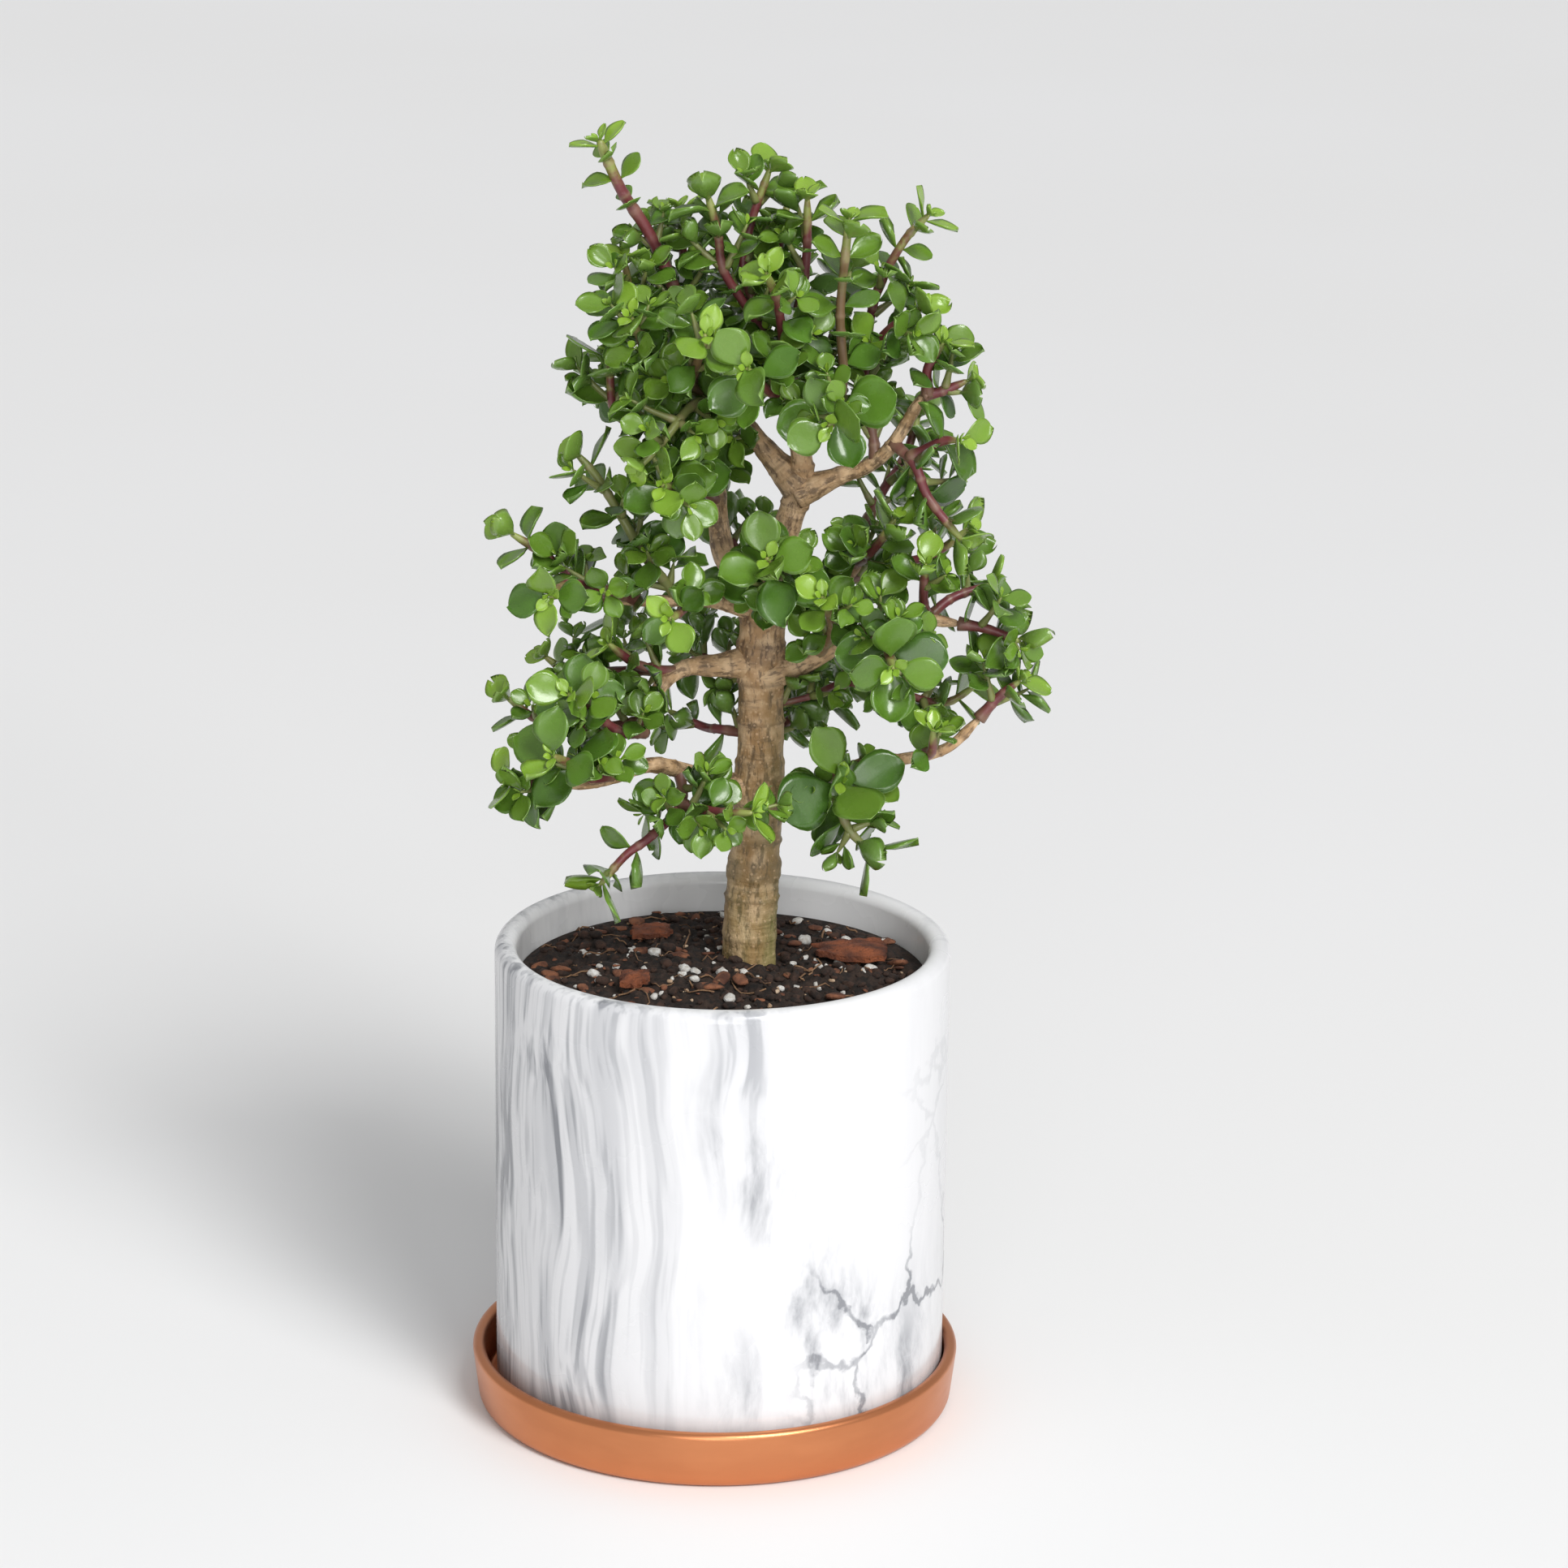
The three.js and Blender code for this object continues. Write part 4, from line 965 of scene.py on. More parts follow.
@dataclass
class Limb:
    """A stem. Its route is in millimetres from the pot's axis and the soil at the wall."""

    name: str
    route: list[Point]
    on: str = ""
    at: float = 0.0
    radii: tuple[float, ...] = SHOOT_RADII
    leaf: float = 0.0
    bare: float = 0.0
    roll: float = 0.0
    node: str = ""
    tint: Tint = Tint.RED
    points: np.ndarray = field(init=False, default=None)
    joints: np.ndarray = field(init=False, default=None)
    length: float = field(init=False, default=0.0)

    def grow(self, others: dict[str, "Limb"]) -> None:
        """Joins the limb to what it grows on, and works out its straight steps."""
        points = [np.array(point, float) for point in self.route]
        if self.on:
            points.insert(0, others[self.on].point(self.at))
        self.points = np.array(points)
        line = self.smooth(CURVE_STEPS)
        self.length = float(np.linalg.norm(np.diff(line, axis=0), axis=1).sum())
        self.joints = self.spaced(STEPS_PER_STRETCH * (len(points) - 1))

    def at_share(self, share: float) -> np.ndarray:
        """A point of the smooth curve through the route."""
        points = self.points
        last = len(points) - 1
        step = min(int(share * last), last - 1)
        w = share * last - step
        p1, p2 = points[step], points[step + 1]
        p0 = points[step - 1] if step > 0 else 2 * p1 - p2
        p3 = points[step + 2] if step + 2 <= last else 2 * p2 - p1
        t0, t1 = (p2 - p0) / 2, (p3 - p1) / 2
        return p1 + t0 * w + (3 * (p2 - p1) - 2 * t0 - t1) * w**2 + (2 * (p1 - p2) + t0 + t1) * w**3

    def smooth(self, steps: int) -> np.ndarray:
        """Points of the curve at even steps of its route."""
        return np.array([self.at_share(i / steps) for i in range(steps + 1)])

    def spaced(self, steps: int) -> np.ndarray:
        """Points of the curve at even distances along it."""
        line = self.smooth(CURVE_STEPS)
        lengths = np.concatenate([[0], np.cumsum(np.linalg.norm(np.diff(line, axis=0), axis=1))])
        shares = np.interp(np.linspace(0, lengths[-1], steps + 1), lengths,
                           np.linspace(0, 1, CURVE_STEPS + 1))
        return np.array([self.at_share(share) for share in shares])

    def stretch(self, along: float) -> int:
        """Which straight step a place is on."""
        return min(int(along * (len(self.joints) - 1)), len(self.joints) - 2)

    def point(self, along: float) -> np.ndarray:
        """A place on the straight steps, from the foot (0) to the tip (1)."""
        before = self.stretch(along)
        share = along * (len(self.joints) - 1) - before
        return self.joints[before] * (1 - share) + self.joints[before + 1] * share

    def heading(self, along: float) -> np.ndarray:
        """The direction of the straight step at a place."""
        before = self.stretch(along)
        step = self.joints[before + 1] - self.joints[before]
        return step / np.linalg.norm(step)

    def radius(self, along: float) -> float:
        """How thick the limb is at a place."""
        return float(np.interp(along, np.linspace(0, 1, len(self.radii)), self.radii))


# How every limb and shoot grows: see Limb for what the numbers mean.
WOOD = [
    Limb("trunk", [(7, 8, -14), (8, 8, 20), (10, 8, 58), (10, 8, 95), (14, 8, 119), (20, 8, 139),
                   (20, 5, 152), (18, 4, 166), (14, 2, 179)],
         radii=(7.8, 7.6, 6.8, 6.6, 5.9, 5.7, 3.4, 2.6, 2)),
    Limb("bough_west_arch", [(-2, 5, 89), (-11, 2, 89), (-18, -4, 85), (-22, -10, 74)],
         "trunk", 0.53, (3, 2.6, 2, 1.6)),
    Limb("bough_west_low",
         [(-3, 2, 56), (-11, -4, 61), (-21, -12, 65), (-33, -20, 63), (-43, -26, 63)],
         "trunk", 0.34, (2.6, 2.4, 2, 1.4)),
    Limb("bough_west_high", [(1, 18, 115), (-2, 23, 124), (-3, 24, 136), (-4, 22, 146)],
         "trunk", 0.65, (3.2, 3.2, 2.8, 2.2)),
    Limb("bough_west_middle", [(-5, 3, 108), (-21, -2, 109), (-33, -2, 110)],
         "trunk", 0.6, (2, 1.7, 1.5)),
    Limb("bough_crown_west", [(11, 9, 149), (5, 8, 157), (-1, 8, 163), (-8, 6, 170)],
         "trunk", 0.79, (2.8, 2.3, 1.8)),
    Limb("bough_crown_east", [(31, 6, 143), (38, 4, 146), (45, 0, 153), (53, -4, 168)],
         "trunk", 0.78, (2.6, 2.1, 1.9, 1.5)),
    Limb("bough_east_upper", [(24, 18, 104), (35, 25, 111), (39, 28, 124)],
         "trunk", 0.59, (2.2, 1.9, 1.6)),
    Limb("bough_east_main", [(22, 6, 90), (32, 1, 97), (41, -3, 102), (53, -4, 105), (64, -4, 104)],
         "trunk", 0.51, (3.2, 2.6, 2, 1.5)),
    Limb("bough_east_low", [(28, 2, 56), (37, -4, 63), (48, -8, 66), (61, -10, 70), (70, -8, 78)],
         "trunk", 0.32, (2.2, 2, 1.7, 1.3)),
]


def shoot(node: str, on: str, at: float, leaf: float, bare: float, roll: float, route: list[Point],
          **more: object) -> Limb:
    """A leafy shoot: its node, what it grows on and where, its leaves, and its route."""
    node = f"shoot_{node}"
    name = more.pop("name", f"{node}_{route[0]}")
    return Limb(name, route, on, at, leaf=leaf, bare=bare, roll=roll, node=node, **more)


SHOOTS = [
    # The front of the plant.
    shoot("front_centre", "trunk", 0.61, 15, 0.55, 10,
          [(13, -6, 112), (12, -18, 120), (11, -28, 128)]),
    shoot("front_east", "bough_east_main", 0.5, 15, 0.7, 0,
          [(43, -18, 103), (44, -30, 102), (45, -40, 101)]),
    shoot("front_east_small", "bough_east_main", 0.3, 10, 0.4, 30,
          [(29, -12, 104), (28, -22, 111), (26, -30, 118)], tint=Tint.MIXED),
    shoot("west_clover", "bough_west_middle", 0.8, 12, 0.96, 8,
          [(-36, -14, 116), (-43, -23, 119), (-47, -33, 118)]),
    shoot("front_west", "bough_west_middle", 0.5, 11, 0.75, 40, [(-12, -24, 112), (-15, -36, 113)]),
    shoot("west_front_upper", "bough_west_arch", 1, 13, 0.45, 50,
          [(-28, -18, 76), (-36, -26, 84), (-42, -36, 92)]),
    shoot("west_front_lower", "bough_west_low", 0.72, 14, 0.6, 20,
          [(-36, -28, 66), (-40, -34, 71), (-46, -44, 77)]),
    shoot("low_west", "bough_west_low", 0.42, 12, 0.25, 30,
          [(-12, -13, 54), (-20, -20, 47), (-27, -22, 42), (-34, -24, 34)], name="low_west"),
    shoot("low_west", "low_west", 0.25, 10, 0.2, 60, [(-5, -24, 56), (2, -30, 57), (8, -33, 58)]),
    shoot("low_east", "bough_east_low", 0.3, 14, 0.1, 0,
          [(31, -12, 55), (35, -14, 47), (41, -14, 41)], tint=Tint.OLIVE),
    # The crown, front and sides.
    shoot("crown_round_leaves", "trunk", 0.91, 14, 0.8, 40, [(12, -14, 170), (5, -34, 181)]),
    shoot("crown_leader", "trunk", 0.87, 11, 0.2, 20,
          [(28, -5, 160), (31, -10, 173), (30, -12, 191), (31, -14, 207), (32, -14, 218)],
          name="leader", tint=Tint.MIXED),
    shoot("crown_leader", "leader", 0.22, 15, 0.6, 20,
          [(30, -22, 167), (27, -34, 166)], tint=Tint.MIXED),
    shoot("top_west", "bough_crown_west", 0.95, 9, 0.35, 10,
          [(-13, 6, 190), (-21, 4, 209), (-29, 2, 222), (-35, 0, 236)],
          name="top_west", radii=(1.9, 1.7, 1.5)),
    shoot("top_west", "top_west", 0.25, 10, 0.3, 50, [(-20, 4, 186), (-26, 2, 192), (-28, 0, 203)]),
    shoot("crown_rosette", "bough_crown_west", 0.8, 13, 0.55, 0,
          [(-14, -6, 172), (-21, -10, 179), (-26, -20, 192)], name="rosette", tint=Tint.MIXED),
    shoot("crown_rosette", "rosette", 0.3, 11, 0.5, 45,
          [(-8, -20, 180), (-6, -34, 190)], tint=Tint.MIXED),
    shoot("crown_curled", "bough_crown_west", 0.6, 13, 0.4, 0,
          [(-18, 2, 158), (-30, -4, 162), (-32, -8, 180)]),
    shoot("crown_drooping", "bough_crown_west", 0.4, 10, 0.4, 30,
          [(-5, -6, 165), (-10, -14, 166), (-16, -22, 160), (-23, -28, 153)], tint=Tint.OLIVE),
    shoot("top_middle", "trunk", 0.93, 12, 0.4, 5,
          [(8, 2, 186), (-1, 0, 200), (-3, 0, 211), (-6, 0, 222)], name="top_middle"),
    shoot("top_middle", "top_middle", 0.25, 11, 0.5, 20, [(4, 8, 200), (6, 10, 212), (11, 10, 227)]),
    shoot("top_east", "trunk", 1, 10, 0.45, 0,
          [(19, 2, 190), (21, 1, 205), (21, 0, 221)], name="top_east"),
    shoot("top_east", "top_east", 0.1, 9, 0.4, 40, [(14, 14, 190), (14, 20, 200), (16, 25, 216)]),
    shoot("crown_young", "trunk", 0.95, 10, 0.4, 35,
          [(15, -10, 183), (13, -18, 196), (10, -25, 205)]),
    shoot("top_far_east", "bough_crown_east", 0.5, 10, 0.35, 10,
          [(38, 7, 175), (40, 6, 193), (47, 4, 208), (54, 4, 216)], name="top_far_east"),
    shoot("top_far_east", "top_far_east", 0.4, 11, 0.4, 60, [(44, -3, 186), (52, -6, 192)]),
    shoot("crown_east_tip", "bough_crown_east", 1, 9, 0.35, 20,
          [(58, -4, 169), (65, -4, 172)], name="east_tip"),
    shoot("crown_east_tip", "east_tip", 0.1, 9, 0.4, 70, [(54, -7, 176), (58, -8, 183)]),
    shoot("crown_east_hanging", "bough_crown_east", 0.66, 13, 0.25, 40,
          [(51, -6, 149), (55, -8, 140), (64, -10, 129)], name="east_hanging"),
    shoot("crown_east_hanging", "east_hanging", 0.2, 12, 0.6, 10, [(58, -8, 156), (63, -11, 157)]),
    shoot("inner_glossy", "bough_west_high", 0.7, 13, 0.55, 20,
          [(-9, 8, 139), (-14, -16, 144), (-17, -29, 148)]),
    shoot("west_upper", "bough_west_middle", 0.55, 12, 0.25, 20,
          [(-22, -7, 123), (-29, -8, 135), (-35, -8, 145), (-41, -8, 152)], tint=Tint.OLIVE),
    shoot("west_far", "bough_west_middle", 1, 11, 0.2, 30,
          [(-42, -3, 116), (-50, -5, 123), (-59, -6, 129)]),
    shoot("west_arch_tip", "bough_west_arch", 0.55, 10, 0.25, 20,
          [(-24, -6, 92), (-32, -10, 99)], name="arch_tip"),
    shoot("west_arch_tip", "arch_tip", 0.3, 9, 0.4, 50, [(-33, 0, 88), (-41, 2, 86), (-50, 2, 92)]),
    shoot("west_low_far", "bough_west_arch", 0.92, 11, 0.4, 10,
          [(-36, -7, 74), (-50, -8, 76), (-60, -8, 83)]),
    shoot("west_low_tip", "bough_west_low", 1, 11, 0.2, 40, [(-50, -28, 64), (-58, -30, 66)]),
    shoot("west_stub", "trunk", 0.42, 11, 0.4, 10, [(-1, 14, 68), (-6, 20, 67), (-16, 22, 71)]),
    shoot("east_inner", "bough_east_upper", 0.75, 12, 0.3, 25,
          [(38, 8, 119), (42, -4, 127), (46, -6, 134)]),
    shoot("east_upper", "bough_east_main", 0.85, 11, 0.2, 20,
          [(62, 0, 110), (73, 4, 113)], name="east_upper"),
    shoot("east_upper", "east_upper", 0.05, 11, 0.35, 70, [(54, -10, 112), (54, -17, 124)]),
    shoot("east_tip", "bough_east_main", 1, 11, 0.15, 30, [(72, -6, 103), (81, -8, 100)]),
    shoot("east_low_tip", "bough_east_low", 1, 10, 0.1, 20, [(75, -8, 84), (81, -8, 89)]),
    shoot("east_sprout", "bough_east_low", 0.75, 8, 0.3, 50, [(57, -15, 71), (57, -19, 78)]),
    shoot("east_twig", "trunk", 0.46, 12, 0.5, 40,
          [(24, 10, 79), (33, 13, 82), (45, 8, 82), (60, 4, 79), (70, 5, 84)],
          radii=(0.9, 0.9, 1.1, 1.1, 1)),
    # The back of the plant.
    shoot("back_crown_west", "bough_west_high", 1, 11, 0.3, 0,
          [(-8, 23, 170), (-12, 21, 198), (-14, 22, 214)]),
    shoot("back_west_high", "bough_west_high", 0.85, 13, 0.35, 30,
          [(-12, 32, 148), (-24, 40, 156), (-32, 44, 168)]),
    shoot("back_crown_middle", "bough_west_high", 0.9, 12, 0.35, 60,
          [(0, 34, 160), (4, 40, 178), (4, 42, 194)]),
    shoot("back_crown_east", "trunk", 0.9, 12, 0.3, 20,
          [(24, 16, 168), (30, 28, 180), (34, 34, 196)]),
    shoot("back_middle", "trunk", 0.6, 13, 0.35, 45, [(8, 30, 108), (2, 44, 114), (-4, 56, 122)]),
    shoot("back_east_high", "bough_east_upper", 1, 12, 0.3, 10,
          [(44, 36, 132), (50, 42, 140), (54, 46, 152)]),
    shoot("back_east", "bough_east_upper", 0.6, 12, 0.4, 35,
          [(44, 34, 110), (58, 34, 114), (68, 32, 122)]),
    shoot("back_west", "trunk", 0.5, 13, 0.4, 15, [(-6, 24, 86), (-20, 36, 90), (-34, 42, 98)]),
    shoot("back_east_low", "trunk", 0.41, 12, 0.4, 50, [(22, 26, 70), (34, 40, 74), (46, 48, 82)]),
    # Two large leaves beside the trunk.
    shoot("low_east", "bough_east_low", 0.28, 18, 0.85, 25, [(31, -9, 59), (32, -15, 62)],
          tint=Tint.OLIVE),
]


class Dice:
    """Numbers from 0 to 1 in a fixed order, the same on every run."""

    multiplier: int = 1664525
    step: int = 1013904223
    modulus: int = 2**32

    def __init__(self, seed: int) -> None:
        """Starts from a seed."""
        self.state = seed

    def roll(self) -> float:
        """The next number."""
        self.state = (self.state * self.multiplier + self.step) % self.modulus
        return self.state / self.modulus

    def about(self, spread: float) -> float:
        """A number in a range of this width about nought."""
        return spread * (self.roll() - 0.5)


# ---------------------------------------------------------------- where leaves stand

# The solid leaf: a six-sided face and a point behind it, in shares of its length.
LEAF_OUTLINE = ((0, 0), (0.42, 0.38), (0.84, 0.34), (1, 0), (0.84, -0.34), (0.42, -0.38))
LEAF_CROWN = 0.6
LEAF_THICKNESS = 1.9
LEAF_ROOT = 0.45
LEAF_GAP = 0.5
SPROUT_GAP = -0.5
GROWN_LEAF = 14.0
LAST_PAIR = 0.97
INTERNODE = 7.6
TIP_SHARE = 0.9
CROWDING = 1.35
TURNS = (0, 16, -16, 32, -32)
LIFTS = (0, -16, 12, -30)
SHARES = (1, 0.86, 0.72, 0.6)
CROWN_AXIS = np.array([10.0, 8.0, 0.0])
CROWN_REACH = 40.0
WINDOW = np.array([0.1, -0.6, 0.6])
STEEP = 0.8
BUD_PLACE = 0.99
BUD_PAIRS = ((5.2, 52), (3.0, 26))


@dataclass(frozen=True)
class Habit:
    """How the leaves of a shoot stand, in degrees and shares. A spread is the whole range."""

    roll_spread: float = 16
    opening: float = 80
    closing: float = 22
    opening_spread: float = 14
    length_spread: float = 0.24
    lean_spread: float = 40
    facing_at_foot: float = 0.8
    facing_at_tip: float = 0.15


@dataclass(frozen=True)
class SproutHabit:
    """How a small side shoot and its leaves stand, in millimetres, degrees and shares."""

    shortest: float = 5.0
    longer: float = 8.0
    three_pairs: float = 8.5
    angle: float = 56
    angle_spread: float = 24
    rise: float = 0.35
    bend: float = 0.12
    smallest_leaf: float = 7.0
    larger_leaf: float = 4.5
    radii: tuple[float, ...] = (0.95, 0.8, 0.6)


def about_axis(vector: np.ndarray, axis: np.ndarray, degrees: float) -> np.ndarray:
    """A vector turned about a unit axis."""
    angle = math.radians(degrees)
    return (vector * math.cos(angle) + np.cross(axis, vector) * math.sin(angle)
            + axis * np.dot(axis, vector) * (1 - math.cos(angle)))


@dataclass
class RoundedBody:
    """Points with a radius round them, and the directions in which to look for a gap."""

    node: str
    points: np.ndarray
    radius: float
    axes: np.ndarray
    centre: np.ndarray = field(init=False)
    reach: float = field(init=False)

    def __post_init__(self) -> None:
        """Works out its middle and how far it reaches."""
        self.centre = (self.points.min(0) + self.points.max(0)) / 2
        self.reach = float(np.linalg.norm(self.points - self.centre, axis=1).max()) + self.radius

    def is_apart(self, other: "RoundedBody", gap: float) -> bool:
        """True where some direction shows a gap between two bodies."""
        between = other.centre - self.centre
        if np.linalg.norm(between) > self.reach + other.reach + gap:
            return True
        crossed = np.cross(self.axes[0], other.axes[0])
        axes = np.vstack([self.axes, other.axes, between, crossed])
        lengths = np.linalg.norm(axes, axis=1)
        axes = axes[lengths > 1e-6] / lengths[lengths > 1e-6, None]
        mine, theirs = self.points @ axes.T, other.points @ axes.T
        space = np.maximum(theirs.min(0) - mine.max(0), mine.min(0) - theirs.max(0))
        return bool((space > self.radius + other.radius + gap).any())


@dataclass
class Leaf:
    """One leaf: its root, the way it points, the way it faces, and its length in millimetres."""

    root: np.ndarray
    direction: np.ndarray
    normal: np.ndarray
    length: float
    youth: float = 0.0

    def body(self, node: str) -> RoundedBody:
        """The leaf's solid, as points and directions."""
        across = np.cross(self.normal, self.direction)
        rim = np.array([self.root + self.direction * u * self.length + across * v * self.length
                        for u, v in LEAF_OUTLINE])
        edges = np.cross(np.roll(rim, -1, axis=0) - rim, self.normal)
        apex = self.root + self.direction * LEAF_CROWN * self.length - self.normal * LEAF_THICKNESS
        return RoundedBody(node, np.vstack([rim, apex]), 0.0, np.vstack([self.normal, edges]))

    def matrix(self) -> Matrix:
        """Takes a leaf pattern of unit length to its place, in metres from the pot's axis."""
        across = np.cross(self.normal, self.direction)
        turned = Matrix(np.column_stack([self.direction, across, self.normal]).tolist()).to_4x4()
        return Matrix.Translation(self.root * MM) @ turned @ Matrix.Scale(self.length * MM, 4)


@dataclass
class Stand:
    """Where a pair of leaves grows, and how its leaves stand."""

    base: np.ndarray
    thickness: float
    along: np.ndarray
    roll: float
    spread: float
    length: float
    lean: float
    facing: float

    def leaf(self, side: int, turn: float, lift: float, share: float) -> Leaf:
        """One leaf of the pair, turned round the stem, lifted, and kept smaller."""
        reference = UP if abs(self.along[1]) > STEEP else NORTH
        outward = np.cross(reference, self.along)
        outward /= np.linalg.norm(outward)
        outward = about_axis(outward, self.along, self.roll + 180 * side + turn)
        angle = math.radians(self.spread - lift)
        direction = outward * math.sin(angle) + self.along * math.cos(angle)
        normal = self.along * math.sin(angle) - outward * math.cos(angle)
        normal = about_axis(normal, direction, self.lean) + open_side(self.base) * self.facing
        normal -= direction * np.dot(normal, direction)
        normal /= np.linalg.norm(normal)
        root = self.base + outward * LEAF_ROOT * self.thickness
        return Leaf(root, direction, normal, self.length * share)


def open_side(place: np.ndarray) -> np.ndarray:
    """The way that leaves at a place turn their faces: out of the crown and to the light."""
    outward = (place - CROWN_AXIS) / CROWN_REACH
    outward[2] = 0.0
    length = np.linalg.norm(outward)
    return outward / max(length, 1.0) + WINDOW


class Foliage:
    """Finds a free place for every leaf, and for the small sprouts between them."""

    def __init__(self, limbs: dict[str, Limb]) -> None:
        """Starts with the bare limbs.

        Args:
            limbs: every limb, by name, in the order they grow.
        """
        self.bodies: list[RoundedBody] = []
        for limb in limbs.values():
            self.add_limb(limb)

    def add_limb(self, limb: Limb) -> None:
        """Adds a limb's straight steps to what leaves must clear."""
        steps = len(limb.joints) - 1
        for i in range(steps):
            start, end = limb.joints[i], limb.joints[i + 1]
            along = (end - start) / np.linalg.norm(end - start)
            across = np.cross(along, UP)
            axes = np.array([along, across, np.cross(across, along)])
            self.bodies.append(RoundedBody(limb.node or limb.name, np.array([start, end]),
                                           limb.radius(i / steps), axes))

    @staticmethod
    def first_that_fits(stand: Stand, side: int, others: list[RoundedBody],
                        gap: float) -> Leaf | None:
        """The first way for a leaf to stand that keeps it clear of everything else."""
        near = [other for other in others
                if np.linalg.norm(other.centre - stand.base) < other.reach + stand.length * 1.2 + 3]
        for share in SHARES:
            for lift in LIFTS:
                for turn in TURNS:
                    leaf = stand.leaf(side, turn, lift, share)
                    body = leaf.body("")
                    if all(body.is_apart(other, gap) for other in near):
                        return leaf
        return None

    def pairs_of(self, limb: Limb, dice: Dice) -> list[Leaf]:
        """The leaves of a shoot, in pairs from its bare foot to its tip.

        Args:
            limb: the shoot.
            dice: the dice for what varies.

        Returns:
            The leaves that found a place.
        """
        others = [body for body in self.bodies if body.node != limb.node]
        pairs = max(2, int(limb.length * (1 - limb.bare) / INTERNODE + 0.5) + 1)
        habit = Habit()
        turned_away = habit.facing_at_foot - habit.facing_at_tip
        leaves = []
        for pair in range(pairs):
            rise = pair / (pairs - 1)
            along = limb.bare + (LAST_PAIR - limb.bare) * (1 - (1 - rise) ** CROWDING)
            for side in (0, 1):
                stand = Stand(
                    base=limb.point(along),
                    thickness=limb.radius(along),
                    along=limb.heading(along),
                    roll=limb.roll + 90 * pair + dice.about(habit.roll_spread),
                    spread=(habit.opening - habit.closing * rise**2
                            + dice.about(habit.opening_spread)),
                    length=(limb.leaf * (1 - (1 - TIP_SHARE) * rise**3)
                            * (1 + dice.about(habit.length_spread))),
                    lean=dice.about(habit.lean_spread),
                    facing=habit.facing_at_foot - turned_away * rise,
                )
                leaf = self.first_that_fits(stand, side, others, LEAF_GAP)
                if leaf:
                    leaf.youth = rise
                    leaves.append(leaf)
        self.bodies.extend(leaf.body(limb.node) for leaf in leaves)
        return leaves

    def bud_of(self, limb: Limb, dice: Dice) -> list[Leaf]:
        """The two smallest pairs of leaves, at the very tip of a shoot."""
        leaves = []
        for order, (length, spread) in enumerate(BUD_PAIRS):
            for side in (0, 1):
                stand = Stand(limb.point(BUD_PLACE), limb.radius(1.0), limb.heading(1.0),
                              limb.roll + 90 * order + 45 + dice.about(20), spread + dice.about(12),
                              length * (1 + dice.about(0.2)), dice.about(20), 0.1)
                leaf = stand.leaf(side, 0, 0, 1)
                leaf.youth = 1.0
                leaves.append(leaf)
        return leaves

    def sprout(self, limb: Limb, along: float, angle: float, number: int,
               dice: Dice) -> tuple[Limb, list[Leaf]]:
        """A short side shoot with two or three pairs of small leaves.

        Args:
            limb: the limb that it grows on.
            along: where on the limb it grows.
            angle: which side of the limb it grows from, in degrees.
            number: which sprout of the limb it is.
            dice: the dice for what varies.

        Returns:
            The sprout's stem and its leaves.
        """
        habit = SproutHabit()
        side = Stand(limb.point(along), limb.radius(along), limb.heading(along), angle,
                     habit.angle + dice.about(habit.angle_spread), 1.0, 0.0, 0.0).leaf(0, 0, 0, 1)
        heading = side.direction + habit.rise * UP
        heading /= np.linalg.norm(heading)
        length = habit.shortest + habit.longer * dice.roll()
        foot = limb.point(along) + heading * limb.radius(along) * 0.6
        route = [tuple(foot + heading * length * share + UP * habit.bend * length * share**2)
                 for share in (0.0, 0.5, 1.0)]
        made = Limb(f"{limb.name}_sprout_{number}", route, radii=habit.radii,
                    leaf=habit.smallest_leaf + habit.larger_leaf * dice.roll(),
                    roll=90 * dice.roll(), node=limb.node, tint=Tint.OLIVE)
        made.grow({})
        pairs = 2 if length < habit.three_pairs else 3
        return made, self.sprout_leaves(made, pairs, dice)

    def sprout_leaves(self, made: Limb, pairs: int, dice: Dice) -> list[Leaf]:
        """The leaves of a sprout that find a place.

        Args:
            made: the sprout's stem.
            pairs: how many pairs of leaves it has.
            dice: the dice for what varies.

        Returns:
            The leaves.
        """
        leaves = []
        for pair in range(pairs):
            rise = (pair + 1) / pairs
            place = 0.25 + 0.70 * rise
            for side_number in (0, 1):
                stand = Stand(made.point(place), made.radius(place), made.heading(place),
                              made.roll + 90 * pair + dice.about(20), 74 - 18 * rise + dice.about(16),
                              made.leaf * (1 - 0.15 * rise), dice.about(40), 0.5)
                found = self.first_that_fits(stand, side_number, self.bodies, SPROUT_GAP)
                if found:
                    found.youth = 0.15 + 0.5 * rise
                    leaves.append(found)
        return leaves


# ---------------------------------------------------------------- leaves as meshes

